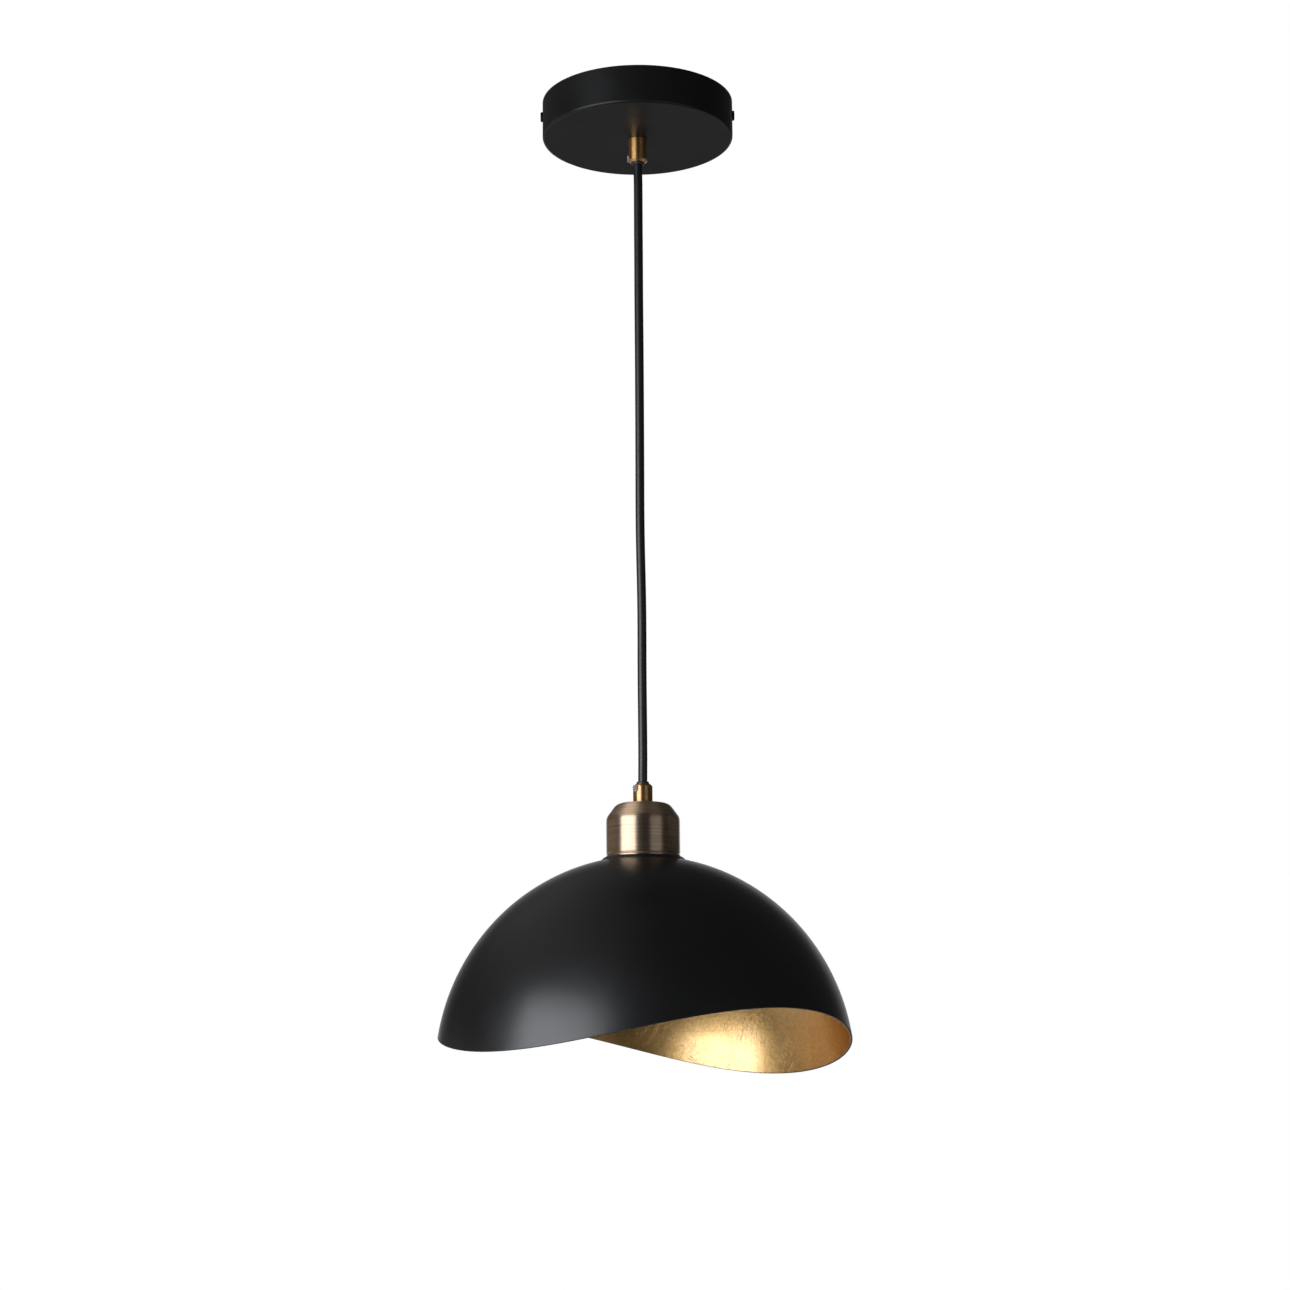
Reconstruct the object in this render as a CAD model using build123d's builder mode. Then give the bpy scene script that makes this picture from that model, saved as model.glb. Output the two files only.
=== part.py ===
from build123d import *

import os
from math import acos, asin, cos, degrees, radians, sin, sqrt

# Pendant ceiling light: a black canopy, a straight round flex held by two brass cord grips,
# a bronze lampholder cup and a black spun dome with a wave-cut rim and a gold leaf lining.
# Millimetres. The origin is the centre of the canopy's ceiling face, +Z points up into the
# ceiling, and the side that is looked at faces -Y.

# Driving sizes: canopy
canopy_diameter = 146.0
canopy_depth = 29.5
canopy_wall = 1.0
canopy_edge_radius = 2.2

# Driving sizes: ceiling bracket and the two screws that hold the canopy to it
bracket_thickness = 1.5
bracket_width = 26.0
bracket_corner_radius = 3.0
tab_width = 18.0
tab_drop = 17.0
tab_corner_radius = 4.0
bend_radius = 1.0
tab_clearance = 0.4
slot_spacing = 100.0
slot_length = 12.0
slot_width = 5.0
supply_hole_diameter = 12.0
side_screw_diameter = 4.0
side_screw_length = 9.0
side_screw_drop = 10.0
side_screw_head_diameter = 7.6
side_screw_head_height = 1.6
side_screw_head_rounding = 0.7

# Driving sizes: terminal block under the bracket, and its screws
terminal_place = 28.0
terminal_length = 17.0
terminal_pole_width = 7.6
terminal_pole_height = 9.0
terminal_pitch = 13.6
terminal_web_height = 5.0
terminal_tower_diameter = 6.2
terminal_tower_height = 4.0
terminal_tower_spacing = 8.8
terminal_corner_radius = 0.8
sleeve_diameter = 4.6
sleeve_bore = 3.2
sleeve_inset = 1.0
terminal_screw_diameter = 2.6
terminal_screw_recess = 0.8
fixing_screw_diameter = 2.5
fixing_screw_head_diameter = 5.0
fixing_screw_head_height = 1.8

# Driving sizes: earth screw and crimped ring tag under the bracket
earth_place = 28.0
earth_screw_diameter = 4.0
earth_screw_head_diameter = 7.6
earth_screw_head_height = 2.4
earth_tag_diameter = 8.4
earth_tag_thickness = 0.8
earth_tag_neck_width = 3.0
earth_barrel_start = 5.0
earth_barrel_length = 7.0
earth_barrel_diameter = 3.6

# Driving sizes: cord grips, one under the canopy and one on the lampholder cup
grip_diameter = 14.3
grip_chamfer = 1.6
upper_grip_length = 18.5
lower_grip_length = 13.3
thread_diameter = 10.0
bushing_diameter = 8.6
bushing_depth = 8.0
collar_diameter = 9.2
collar_height = 1.8
collar_rounding = 0.7
grip_screw_diameter = 4.0
grip_screw_inset = 3.4
grip_screw_head_diameter = 5.0
grip_screw_head_height = 0.9
grip_screw_slot = 0.9
upper_grip_screw_turn = 90.0
lower_grip_screw_turn = 46.0
washer_diameter = 18.0
washer_thickness = 0.8
nut_width = 14.0
nut_height = 4.5
thread_overrun = 1.5

# Driving sizes: flex, its three cores and the length between the two grips
flex_diameter = 6.7
flex_free_length = 476.5
flex_link_length = 48.0
flex_tail = 3.0
core_diameter = 2.3
core_circle_radius = 1.45
core_bend_radius = 4.0
core_entry = 4.0
core_spread = 120.0
ceiling_earth_turn = 180.0
lamp_earth_turn = 90.0

# Driving sizes: lampholder cup
cup_diameter = 53.9
cup_height = 40.6
cup_wall = 0.9
cup_crown = 1.3
cup_shoulder_diameter = 38.8
cup_bevel_height = 10.4
cup_rounding = 8.0
cup_lip_height = 1.3
cup_lip_reach = 0.3
cup_groove_width = 1.9
cup_groove_depth = 0.45

# Driving sizes: lampholder inside the cup
cap_height = 27.2
cap_diameter = 42.0
cap_wall = 2.0
cap_boss_height = 4.0
cap_boss_diameter = 12.6
cap_shoulder_drop = 9.0
insert_diameter = 33.2
insert_height = 9.0
skirt_drop = 34.0
skirt_thread_diameter = 39.6
skirt_flange_height = 3.0
skirt_spigot_height = 5.0
skirt_shoulder_depth = 6.0
skirt_mouth_chamfer = 1.2
shell_bore = 26.4
shell_wall = 0.4
shell_neck_diameter = 21.0
shell_neck_height = 5.5
shell_length = 20.0
lamp_terminal_width = 6.0
lamp_terminal_depth = 5.0
lamp_terminal_height = 6.5
lamp_terminal_place = 9.0
earth_terminal_place = 11.5
lamp_core_bend_radius = 2.4

# Driving sizes: sprung centre contact of the lampholder
contact_thickness = 0.5
contact_width = 5.0
contact_root = 6.5
contact_root_drop = 1.0
contact_pad_start = 1.0
contact_pad_end = 2.6
contact_drop = 4.3
contact_lip = 1.2
rivet_height = 1.6

# Driving sizes: shade ring
ring_diameter = 55.0
ring_height = 9.0
ring_flange_height = 2.4
ring_barrel_diameter = 50.0
ring_scallop_count = 16
ring_scallop_radius = 2.6
ring_scallop_depth = 1.0

# Driving sizes: dome shade
shade_diameter = 300.0
dome_height = 153.0
shade_wall = 1.0
land_diameter = 58.0
land_slope_run = 2.4
land_rise = 2.39
land_rounding = 1.4
shade_hole_clearance = 0.5
leaf_thickness = 0.3
leaf_gap = 0.2
leaf_top_clearance = 0.6

# Driving sizes: the wave of the rim, as heights above the widest circle of the dome
wave_mean = 22.0
wave_amplitude = 17.3
wave_turn = 1.5
wave_tilt = 6.0
wave_tilt_direction = -42.7
wave_cut_margin = 10.0

# Clearances
thread_clearance = 0.05
hole_clearance = 0.25
flex_clearance = 0.2
bend_clearance = 0.3
seat_clearance = 0.1
mouth_clearance = 0.8

# Radii worked out from the sizes above
canopy_radius = canopy_diameter / 2
canopy_inner_radius = canopy_radius - canopy_wall
grip_radius = grip_diameter / 2
thread_radius = thread_diameter / 2
thread_hole_radius = thread_radius + thread_clearance
flex_radius = flex_diameter / 2
flex_bore_radius = flex_radius + flex_clearance
pocket_radius = bushing_diameter / 2 + seat_clearance
cup_radius = cup_diameter / 2
cap_radius = cap_diameter / 2
cap_inner_radius = cap_radius - cap_wall
skirt_radius = skirt_thread_diameter / 2
chamber_radius = insert_diameter / 2 + seat_clearance
shell_radius = shell_bore / 2
shell_outer_radius = shell_radius + shell_wall
land_radius = land_diameter / 2
shade_radius = shade_diameter / 2
shade_hole_radius = skirt_radius + shade_hole_clearance
foot_radius = land_radius + land_slope_run

# Heights worked out from the ceiling down
canopy_floor = -canopy_depth
canopy_inner_floor = canopy_floor + canopy_wall
nut_seat = canopy_inner_floor + washer_thickness
upper_thread_end = nut_seat + nut_height + thread_overrun
upper_sheath_end = upper_thread_end + flex_tail
upper_mouth = canopy_floor - upper_grip_length
upper_collar_end = upper_mouth - collar_height
swing_height = upper_collar_end - mouth_clearance
sway_height = swing_height - flex_link_length
lower_collar_end = upper_collar_end - flex_free_length
lower_mouth = lower_collar_end - collar_height
cup_top = lower_mouth - lower_grip_length
cap_top = cup_top - cup_wall
lower_thread_end = cap_top - cap_boss_height - thread_overrun
lower_sheath_end = lower_thread_end - flex_tail
cap_bottom = cap_top - cap_height
insert_seat = cap_bottom - skirt_shoulder_depth
insert_top = insert_seat + insert_height
skirt_bottom = cap_bottom - skirt_drop
shell_neck_end = insert_seat - shell_neck_height
shell_mouth = shell_neck_end - shell_length
cup_bottom = cup_top - cup_height
ring_top = cup_bottom - shade_wall
dome_at_foot = dome_height * sqrt(1 - (foot_radius / shade_radius) ** 2)
equator = cup_bottom - land_rise - dome_at_foot
dome_skirt = wave_mean - wave_amplitude - wave_tilt - wave_cut_margin
earth_entry_height = lower_sheath_end - lamp_core_bend_radius - hole_clearance

# Places worked out under the bracket
core_lead = 2 * core_bend_radius
bracket_under = -bracket_thickness
tab_outer = sqrt(canopy_inner_radius**2 - (tab_width / 2) ** 2) - tab_clearance
terminal_under = bracket_under - terminal_pole_height
terminal_entry_height = bracket_under - terminal_pole_height / 2
terminal_face = terminal_place - terminal_length / 2
earth_barrel_height = bracket_under - earth_barrel_diameter / 2

os.makedirs("parts", exist_ok=True)


def keep(piece, name):
    """Label a finished piece and write it as a node of its own."""
    piece.part.label = name
    export_step(piece.part, f"parts/{name}.step")


def turn(*points, mode=Mode.ADD):
    """Turn a closed outline of (radius, height) points about the lamp's axis."""
    with BuildSketch(Plane.XZ) as outline:
        with BuildLine():
            Polyline(*points, close=True)
        make_face()
    revolve(outline.sketch, axis=Axis.Z, mode=mode)


def run_core(*points, radius=core_bend_radius):
    """Lay one insulated core along straight runs joined by bends."""
    with BuildLine() as route:
        FilletPolyline(*points, radius=radius)
    with BuildSketch(Plane(origin=route.line @ 0, z_dir=route.line % 0)) as section:
        Circle(core_diameter / 2)
    sweep(section.sketch, path=route.line)


def core_start(angle, height):
    """The place of a core in the flex's end face."""
    x = core_circle_radius * cos(radians(angle))
    y = core_circle_radius * sin(radians(angle))
    return (x, y, height)


# Ceiling bracket: a steel strap with turned-down tabs, slotted for two ceiling screws
with BuildPart() as ceiling_bracket:
    with BuildSketch(Plane.XZ):
        with Locations((0, -tab_drop / 2)):
            Rectangle(2 * tab_outer, tab_drop)
        with Locations((0, (bracket_under - tab_drop) / 2)):
            Rectangle(2 * (tab_outer - bracket_thickness), tab_drop - bracket_thickness, mode=Mode.SUBTRACT)
    extrude(amount=tab_width / 2, both=True)
    bends = ceiling_bracket.edges().filter_by(Axis.Y).group_by(Axis.Z)
    fillet(bends[-2], bend_radius)
    bends = ceiling_bracket.edges().filter_by(Axis.Y).group_by(Axis.Z)
    fillet(bends[-1], bend_radius + bracket_thickness)
    fillet(ceiling_bracket.edges().filter_by(Axis.X).group_by(Axis.Z)[0], tab_corner_radius)
    with BuildSketch(Plane.XY):
        strap_length = 2 * (tab_outer - bend_radius - bracket_thickness)
        RectangleRounded(strap_length, bracket_width, bracket_corner_radius)
    extrude(amount=-bracket_thickness)
    with BuildSketch(Plane.XY):
        Circle(supply_hole_diameter / 2)
        with GridLocations(slot_spacing, 0, 2, 1):
            SlotOverall(slot_length, slot_width)
        with Locations((terminal_place, 0)):
            Circle(fixing_screw_diameter / 2 + thread_clearance)
        with Locations((-earth_place, 0)):
            Circle(earth_screw_diameter / 2 + thread_clearance)
    extrude(amount=-bracket_thickness, mode=Mode.SUBTRACT)
    with BuildSketch(Plane.YZ):
        with Locations((0, -side_screw_drop)):
            Circle(side_screw_diameter / 2 + thread_clearance)
    extrude(amount=tab_outer, both=True, mode=Mode.SUBTRACT)
keep(ceiling_bracket, "ceiling_bracket")

# Canopy: a shallow drawn cup, open to the ceiling
with BuildPart() as canopy:
    with BuildSketch(Plane.XZ):
        with BuildLine():
            FilletPolyline(
                (thread_radius + hole_clearance, canopy_floor),
                (canopy_radius, canopy_floor),
                (canopy_radius, 0),
                radius=canopy_edge_radius,
            )
            offset(amount=canopy_wall, side=Side.LEFT)
        make_face()
    revolve(axis=Axis.Z)
    with BuildSketch(Plane.YZ):
        with Locations((0, -side_screw_drop)):
            Circle(side_screw_diameter / 2 + hole_clearance)
    extrude(amount=canopy_radius, both=True, mode=Mode.SUBTRACT)
keep(canopy, "canopy")

# Two low round-headed screws, through the canopy's side into the bracket's tabs
with BuildPart() as canopy_side_screws:
    with BuildSketch(Plane.YZ.offset(canopy_radius)):
        with Locations((0, -side_screw_drop)):
            Circle(side_screw_head_diameter / 2)
    extrude(amount=side_screw_head_height)
    fillet(canopy_side_screws.edges().group_by(Axis.X)[-1], side_screw_head_rounding)
    with BuildSketch(Plane.YZ.offset(canopy_radius)):
        with Locations((0, -side_screw_drop)):
            Circle(side_screw_diameter / 2)
    extrude(amount=-side_screw_length)
    mirror(about=Plane.YZ)
keep(canopy_side_screws, "canopy_side_screws")

# Terminal block: two poles with screw towers, joined by a web that is screwed to the bracket
with BuildPart() as terminal_block:
    with BuildSketch(Plane.XY.offset(bracket_under)):
        with Locations((terminal_place, 0)):
            with GridLocations(0, terminal_pitch, 1, 2):
                RectangleRounded(terminal_length, terminal_pole_width, terminal_corner_radius)
    extrude(amount=-terminal_pole_height)
    with BuildSketch(Plane.XY.offset(bracket_under)):
        with Locations((terminal_place, 0)):
            Rectangle(terminal_length, terminal_pitch)
            Circle(fixing_screw_diameter / 2 + hole_clearance, mode=Mode.SUBTRACT)
    extrude(amount=-terminal_web_height)
    with BuildSketch(Plane.XY.offset(terminal_under)):
        with Locations((terminal_place, 0)):
            with GridLocations(terminal_tower_spacing, terminal_pitch, 2, 2):
                Circle(terminal_tower_diameter / 2)
    extrude(amount=-terminal_tower_height)
    with BuildSketch(Plane.XY.offset(terminal_entry_height)):
        with Locations((terminal_place, 0)):
            with GridLocations(terminal_tower_spacing, terminal_pitch, 2, 2):
                Circle(terminal_screw_diameter / 2 + thread_clearance)
    extrude(amount=-terminal_pole_height - terminal_tower_height, mode=Mode.SUBTRACT)
    with BuildSketch(Plane.YZ.offset(terminal_face)):
        with Locations((0, terminal_entry_height)):
            with GridLocations(terminal_pitch, 0, 2, 1):
                Circle(sleeve_diameter / 2 + thread_clearance)
    extrude(amount=terminal_length, mode=Mode.SUBTRACT)
keep(terminal_block, "terminal_block")

# Brass sleeves inside the two poles
with BuildPart() as terminal_sleeves:
    with BuildSketch(Plane.YZ.offset(terminal_face + sleeve_inset)):
        with Locations((0, terminal_entry_height)):
            with GridLocations(terminal_pitch, 0, 2, 1):
                Circle(sleeve_diameter / 2)
                Circle(sleeve_bore / 2, mode=Mode.SUBTRACT)
    extrude(amount=terminal_length - 2 * sleeve_inset)
    with BuildSketch(Plane.XY.offset(terminal_entry_height)):
        with Locations((terminal_place, 0)):
            with GridLocations(terminal_tower_spacing, terminal_pitch, 2, 2):
                Circle(terminal_screw_diameter / 2 + thread_clearance)
    extrude(amount=-sleeve_diameter, mode=Mode.SUBTRACT)
keep(terminal_sleeves, "terminal_sleeves")

# Four clamping screws, sunk in the towers and reaching the sleeves' bores
with BuildPart() as terminal_screws:
    with BuildSketch(Plane.XY.offset(terminal_entry_height - sleeve_bore / 2)):
        with Locations((terminal_place, 0)):
            with GridLocations(terminal_tower_spacing, terminal_pitch, 2, 2):
                Circle(terminal_screw_diameter / 2)
    screw_reach = terminal_pole_height / 2 - sleeve_bore / 2 + terminal_tower_height
    extrude(amount=-(screw_reach - terminal_screw_recess))
keep(terminal_screws, "terminal_screws")

# The screw through the terminal block's web into the bracket
with BuildPart() as terminal_fixing_screw:
    with BuildSketch(Plane.XY.offset(bracket_under - terminal_web_height)):
        with Locations((terminal_place, 0)):
            Circle(fixing_screw_head_diameter / 2)
    extrude(amount=-fixing_screw_head_height)
    with BuildSketch(Plane.XY.offset(bracket_under - terminal_web_height)):
        with Locations((terminal_place, 0)):
            Circle(fixing_screw_diameter / 2)
    extrude(amount=terminal_web_height + bracket_thickness - hole_clearance)
keep(terminal_fixing_screw, "terminal_fixing_screw")

# Earth tag: a ring under the bracket with a crimped barrel for the earth core
with BuildPart() as earth_tag:
    with BuildSketch(Plane.XY.offset(bracket_under)):
        with Locations((-earth_place, 0)):
            Circle(earth_tag_diameter / 2)
            with Locations((earth_barrel_start / 2, 0)):
                Rectangle(earth_barrel_start, earth_tag_neck_width)
            Circle(earth_screw_diameter / 2 + hole_clearance, mode=Mode.SUBTRACT)
    extrude(amount=-earth_tag_thickness)
    with BuildSketch(Plane.YZ.offset(earth_barrel_start - earth_place)):
        with Locations((0, earth_barrel_height)):
            Circle(earth_barrel_diameter / 2)
            Circle(core_diameter / 2 + thread_clearance, mode=Mode.SUBTRACT)
    extrude(amount=earth_barrel_length)
keep(earth_tag, "earth_tag")

# Earth screw, up through the tag into the bracket
with BuildPart() as earth_screw:
    with BuildSketch(Plane.XY.offset(bracket_under - earth_tag_thickness)):
        with Locations((-earth_place, 0)):
            Circle(earth_screw_head_diameter / 2)
    extrude(amount=-earth_screw_head_height)
    fillet(earth_screw.edges().group_by(Axis.Z)[0], side_screw_head_rounding)
    with BuildSketch(Plane.XY.offset(bracket_under - earth_tag_thickness)):
        with Locations((-earth_place, 0)):
            Circle(earth_screw_diameter / 2)
    extrude(amount=earth_tag_thickness + bracket_thickness - hole_clearance)
keep(earth_screw, "earth_screw")


def grip_screw_plane(height, turn_angle):
    """The tangent plane of a grip where its screw goes in, turned from -Y towards -X."""
    outward = (-sin(radians(turn_angle)), -cos(radians(turn_angle)), 0)
    middle = Vector(0, 0, height) + Vector(outward) * grip_radius
    return Plane(origin=middle, x_dir=(0, 0, 1), z_dir=outward)


def turn_grip(seat, mouth, thread_end, screw_turn):
    """Turn a cord grip from its seat to its mouth, with a threaded spigot beyond the seat."""
    inward = 1 if seat > mouth else -1
    turn(
        (flex_bore_radius, thread_end),
        (thread_radius, thread_end),
        (thread_radius, seat),
        (grip_radius, seat),
        (grip_radius, mouth + inward * grip_chamfer),
        (grip_radius - grip_chamfer, mouth),
        (pocket_radius, mouth),
        (pocket_radius, mouth + inward * bushing_depth),
        (flex_bore_radius, mouth + inward * bushing_depth),
    )
    with BuildSketch(grip_screw_plane(mouth + inward * grip_screw_inset, screw_turn)) as hole:
        Circle(grip_screw_diameter / 2 + thread_clearance)
    extrude(hole.sketch, amount=-grip_radius, mode=Mode.SUBTRACT)


def turn_bushing(mouth, inward):
    """Turn the plastic bushing that sits in a grip's mouth, with a rounded collar outside it."""
    with BuildSketch(Plane.XZ) as outline:
        with BuildLine():
            Polyline(
                (flex_bore_radius, mouth + inward * bushing_depth),
                (bushing_diameter / 2, mouth + inward * bushing_depth),
                (bushing_diameter / 2, mouth),
                (collar_diameter / 2, mouth),
                (collar_diameter / 2, mouth - inward * collar_height),
                (flex_bore_radius, mouth - inward * collar_height),
                close=True,
            )
        make_face()
        outer = outline.vertices().group_by(Axis.X)[-1]
        far = outer.sort_by(Axis.Y)[0 if inward > 0 else -1]
        fillet(far, collar_rounding)
    revolve(outline.sketch, axis=Axis.Z)


def draw_grip_screw(height, screw_turn):
    """A slotted nylon screw through a grip's wall, up to the bushing."""
    seat = grip_screw_plane(height, screw_turn)
    with BuildSketch(seat) as shank:
        Circle(grip_screw_diameter / 2)
    extrude(shank.sketch, amount=pocket_radius - grip_radius)
    with BuildSketch(seat) as head:
        Circle(grip_screw_head_diameter / 2)
    extrude(head.sketch, amount=grip_screw_head_height)
    with BuildSketch(seat.offset(grip_screw_head_height)) as slot:
        Rectangle(grip_screw_slot, grip_screw_head_diameter)
    extrude(slot.sketch, amount=-grip_screw_head_height / 2, mode=Mode.SUBTRACT)


# Upper cord grip, its bushing and its nylon screw
with BuildPart() as upper_cord_grip:
    turn_grip(canopy_floor, upper_mouth, upper_thread_end, upper_grip_screw_turn)
keep(upper_cord_grip, "upper_cord_grip")

with BuildPart() as upper_grip_bushing:
    turn_bushing(upper_mouth, 1)
keep(upper_grip_bushing, "upper_grip_bushing")

with BuildPart() as upper_grip_screw:
    draw_grip_screw(upper_mouth + grip_screw_inset, upper_grip_screw_turn)
keep(upper_grip_screw, "upper_grip_screw")

# Washer and nut that draw the upper grip against the canopy's floor
with BuildPart() as canopy_washer:
    with BuildSketch(Plane.XY.offset(canopy_inner_floor)):
        Circle(washer_diameter / 2)
        Circle(thread_radius + hole_clearance, mode=Mode.SUBTRACT)
    extrude(amount=washer_thickness)
keep(canopy_washer, "canopy_washer")

with BuildPart() as canopy_nut:
    with BuildSketch(Plane.XY.offset(nut_seat)):
        RegularPolygon(nut_width / 2, side_count=6, major_radius=False)
        Circle(thread_hole_radius, mode=Mode.SUBTRACT)
    extrude(amount=nut_height)
keep(canopy_nut, "canopy_nut")


def cut_ball_seat(height):
    """Hollow the end of a length of flex round the ball end of the next length."""
    with Locations((0, 0, height)):
        Sphere(flex_radius + bend_clearance, mode=Mode.SUBTRACT)


# Flex inside the upper grip, ending hollow above the point where the free flex bends
with BuildPart() as flex_ceiling_end:
    with BuildSketch(Plane.XY.offset(swing_height)):
        Circle(flex_radius)
    extrude(amount=upper_sheath_end - swing_height)
    cut_ball_seat(swing_height)
keep(flex_ceiling_end, "flex_ceiling_end")

# The first length of free flex, which bends sideways at the grip's mouth
with BuildPart() as flex_exit:
    with BuildSketch(Plane.XY.offset(sway_height)):
        Circle(flex_radius)
    extrude(amount=flex_link_length)
    with Locations((0, 0, swing_height)):
        Sphere(flex_radius)
    cut_ball_seat(sway_height)
keep(flex_exit, "flex_exit")

# The rest of the free flex, which bends to the front and back and carries the lamp
with BuildPart() as flex:
    with BuildSketch(Plane.XY.offset(lower_collar_end)):
        Circle(flex_radius)
    extrude(amount=sway_height - lower_collar_end)
    with Locations((0, 0, sway_height)):
        Sphere(flex_radius)
keep(flex, "flex")

# Cores from the flex's upper end to the terminal block and the earth tag
for core_name, side in {"ceiling_live_core": 1, "ceiling_neutral_core": -1}.items():
    start = core_start(ceiling_earth_turn - side * core_spread, upper_sheath_end)
    pole = side * terminal_pitch / 2
    with BuildPart() as ceiling_core:
        run_core(
            start,
            (start[0], start[1], terminal_entry_height),
            (terminal_face - core_lead, pole, terminal_entry_height),
            (terminal_face + core_entry, pole, terminal_entry_height),
        )
    keep(ceiling_core, core_name)

with BuildPart() as ceiling_earth_core:
    start = core_start(ceiling_earth_turn, upper_sheath_end)
    barrel_mouth = earth_barrel_start + earth_barrel_length - earth_place
    run_core(
        start,
        (start[0], start[1], earth_barrel_height - core_bend_radius),
        (start[0] - core_lead, 0, earth_barrel_height),
        (barrel_mouth - core_entry, 0, earth_barrel_height),
    )
keep(ceiling_earth_core, "ceiling_earth_core")

# Lower cord grip, its bushing, its nylon screw and the flex held in it
with BuildPart() as lower_cord_grip:
    turn_grip(cup_top, lower_mouth, lower_thread_end, lower_grip_screw_turn)
keep(lower_cord_grip, "lower_cord_grip")

with BuildPart() as lower_grip_bushing:
    turn_bushing(lower_mouth, -1)
keep(lower_grip_bushing, "lower_grip_bushing")

with BuildPart() as lower_grip_screw:
    draw_grip_screw(lower_mouth - grip_screw_inset, lower_grip_screw_turn)
keep(lower_grip_screw, "lower_grip_screw")

with BuildPart() as flex_lamp_end:
    with BuildSketch(Plane.XY.offset(lower_sheath_end)):
        Circle(flex_radius)
    extrude(amount=lower_collar_end - lower_sheath_end)
keep(flex_lamp_end, "flex_lamp_end")

# Lampholder cup: spun brass with a crowned top, a bevelled shoulder and a grooved lip
with BuildPart() as lampholder_cup:
    shoulder_height = cup_top - cup_crown
    with BuildSketch(Plane.XZ):
        with BuildLine():
            FilletPolyline(
                (thread_radius + hole_clearance, cup_top),
                (grip_radius, cup_top),
                (cup_shoulder_diameter / 2, shoulder_height),
                (cup_radius, shoulder_height - cup_bevel_height),
                (cup_radius, cup_bottom),
                radius=(cup_rounding, cup_rounding, cup_rounding),
            )
            offset(amount=cup_wall, side=Side.RIGHT)
        make_face()
    revolve(axis=Axis.Z)
    lip_top = cup_bottom + cup_lip_height
    groove_middle = lip_top + cup_groove_width / 2
    turn(
        (cup_radius + cup_groove_depth, groove_middle + cup_groove_width),
        (cup_radius - cup_groove_depth, groove_middle),
        (cup_radius + cup_groove_depth, groove_middle - cup_groove_width),
        mode=Mode.SUBTRACT,
    )
    turn(
        (cup_radius - cup_wall / 2, cup_bottom),
        (cup_radius, cup_bottom),
        (cup_radius + cup_lip_reach, cup_bottom + cup_lip_reach),
        (cup_radius + cup_lip_reach, lip_top - cup_lip_reach),
        (cup_radius, lip_top),
        (cup_radius - cup_wall / 2, lip_top),
    )
keep(lampholder_cup, "lampholder_cup")

# Lampholder cap: screwed onto the lower grip's thread inside the cup
with BuildPart() as lampholder_cap:
    boss_end = cap_top - cap_boss_height
    shoulder_start = cap_top - cap_boss_height / 2
    turn(
        (thread_hole_radius, cap_top),
        (cap_boss_diameter / 2, cap_top),
        (cap_boss_diameter / 2, shoulder_start),
        (cap_inner_radius - cap_wall, shoulder_start),
        (cap_radius, cap_top - cap_shoulder_drop),
        (cap_radius, cap_bottom),
        (cap_inner_radius, cap_bottom),
        (cap_inner_radius, cap_top - cap_shoulder_drop),
        (cap_inner_radius - 2 * cap_wall, boss_end),
        (thread_hole_radius, boss_end),
    )
keep(lampholder_cap, "lampholder_cap")

# Earth terminal under the cap's top
with BuildPart() as earth_terminal:
    earth_terminal_height = boss_end - earth_entry_height + lamp_terminal_depth / 2
    with BuildSketch(Plane.XY.offset(boss_end)):
        with Locations((0, earth_terminal_place)):
            Rectangle(lamp_terminal_depth, lamp_terminal_depth)
    extrude(amount=-earth_terminal_height)
    with BuildSketch(Plane.XZ.offset(-earth_terminal_place)):
        with Locations((0, earth_entry_height)):
            Circle(core_diameter / 2 + hole_clearance)
    extrude(amount=lamp_terminal_depth / 2, mode=Mode.SUBTRACT)
keep(earth_terminal, "earth_terminal")

# Lampholder skirt: screwed up into the cap, with an outside thread for the shade ring
with BuildPart() as lampholder_skirt:
    spigot_radius = cap_inner_radius - thread_clearance
    turn(
        (chamber_radius, cap_bottom + skirt_spigot_height),
        (spigot_radius, cap_bottom + skirt_spigot_height),
        (spigot_radius, cap_bottom),
        (cap_radius, cap_bottom),
        (cap_radius, cap_bottom - skirt_flange_height),
        (skirt_radius, cap_bottom - skirt_flange_height),
        (skirt_radius, skirt_bottom),
        (shell_outer_radius + thread_clearance + skirt_mouth_chamfer, skirt_bottom),
        (shell_outer_radius + thread_clearance, skirt_bottom + skirt_mouth_chamfer),
        (shell_outer_radius + thread_clearance, insert_seat),
        (chamber_radius, insert_seat),
    )
keep(lampholder_skirt, "lampholder_skirt")

# Ceramic insert that carries the contacts, resting on the skirt's inner shoulder
with BuildPart() as lampholder_insert:
    with BuildSketch(Plane.XY.offset(insert_seat)):
        Circle(insert_diameter / 2)
    extrude(amount=insert_height)
keep(lampholder_insert, "lampholder_insert")

# Two brass terminals on the insert, with a wire hole in the top of each
with BuildPart() as lampholder_terminals:
    with BuildSketch(Plane.XY.offset(insert_top)):
        with GridLocations(2 * lamp_terminal_place, 0, 2, 1):
            Rectangle(lamp_terminal_width, lamp_terminal_depth)
    extrude(amount=lamp_terminal_height)
    with BuildSketch(Plane.XY.offset(insert_top + lamp_terminal_height)):
        with GridLocations(2 * lamp_terminal_place, 0, 2, 1):
            Circle(core_diameter / 2 + hole_clearance)
    extrude(amount=-core_entry - hole_clearance, mode=Mode.SUBTRACT)
keep(lampholder_terminals, "lampholder_terminals")

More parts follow.
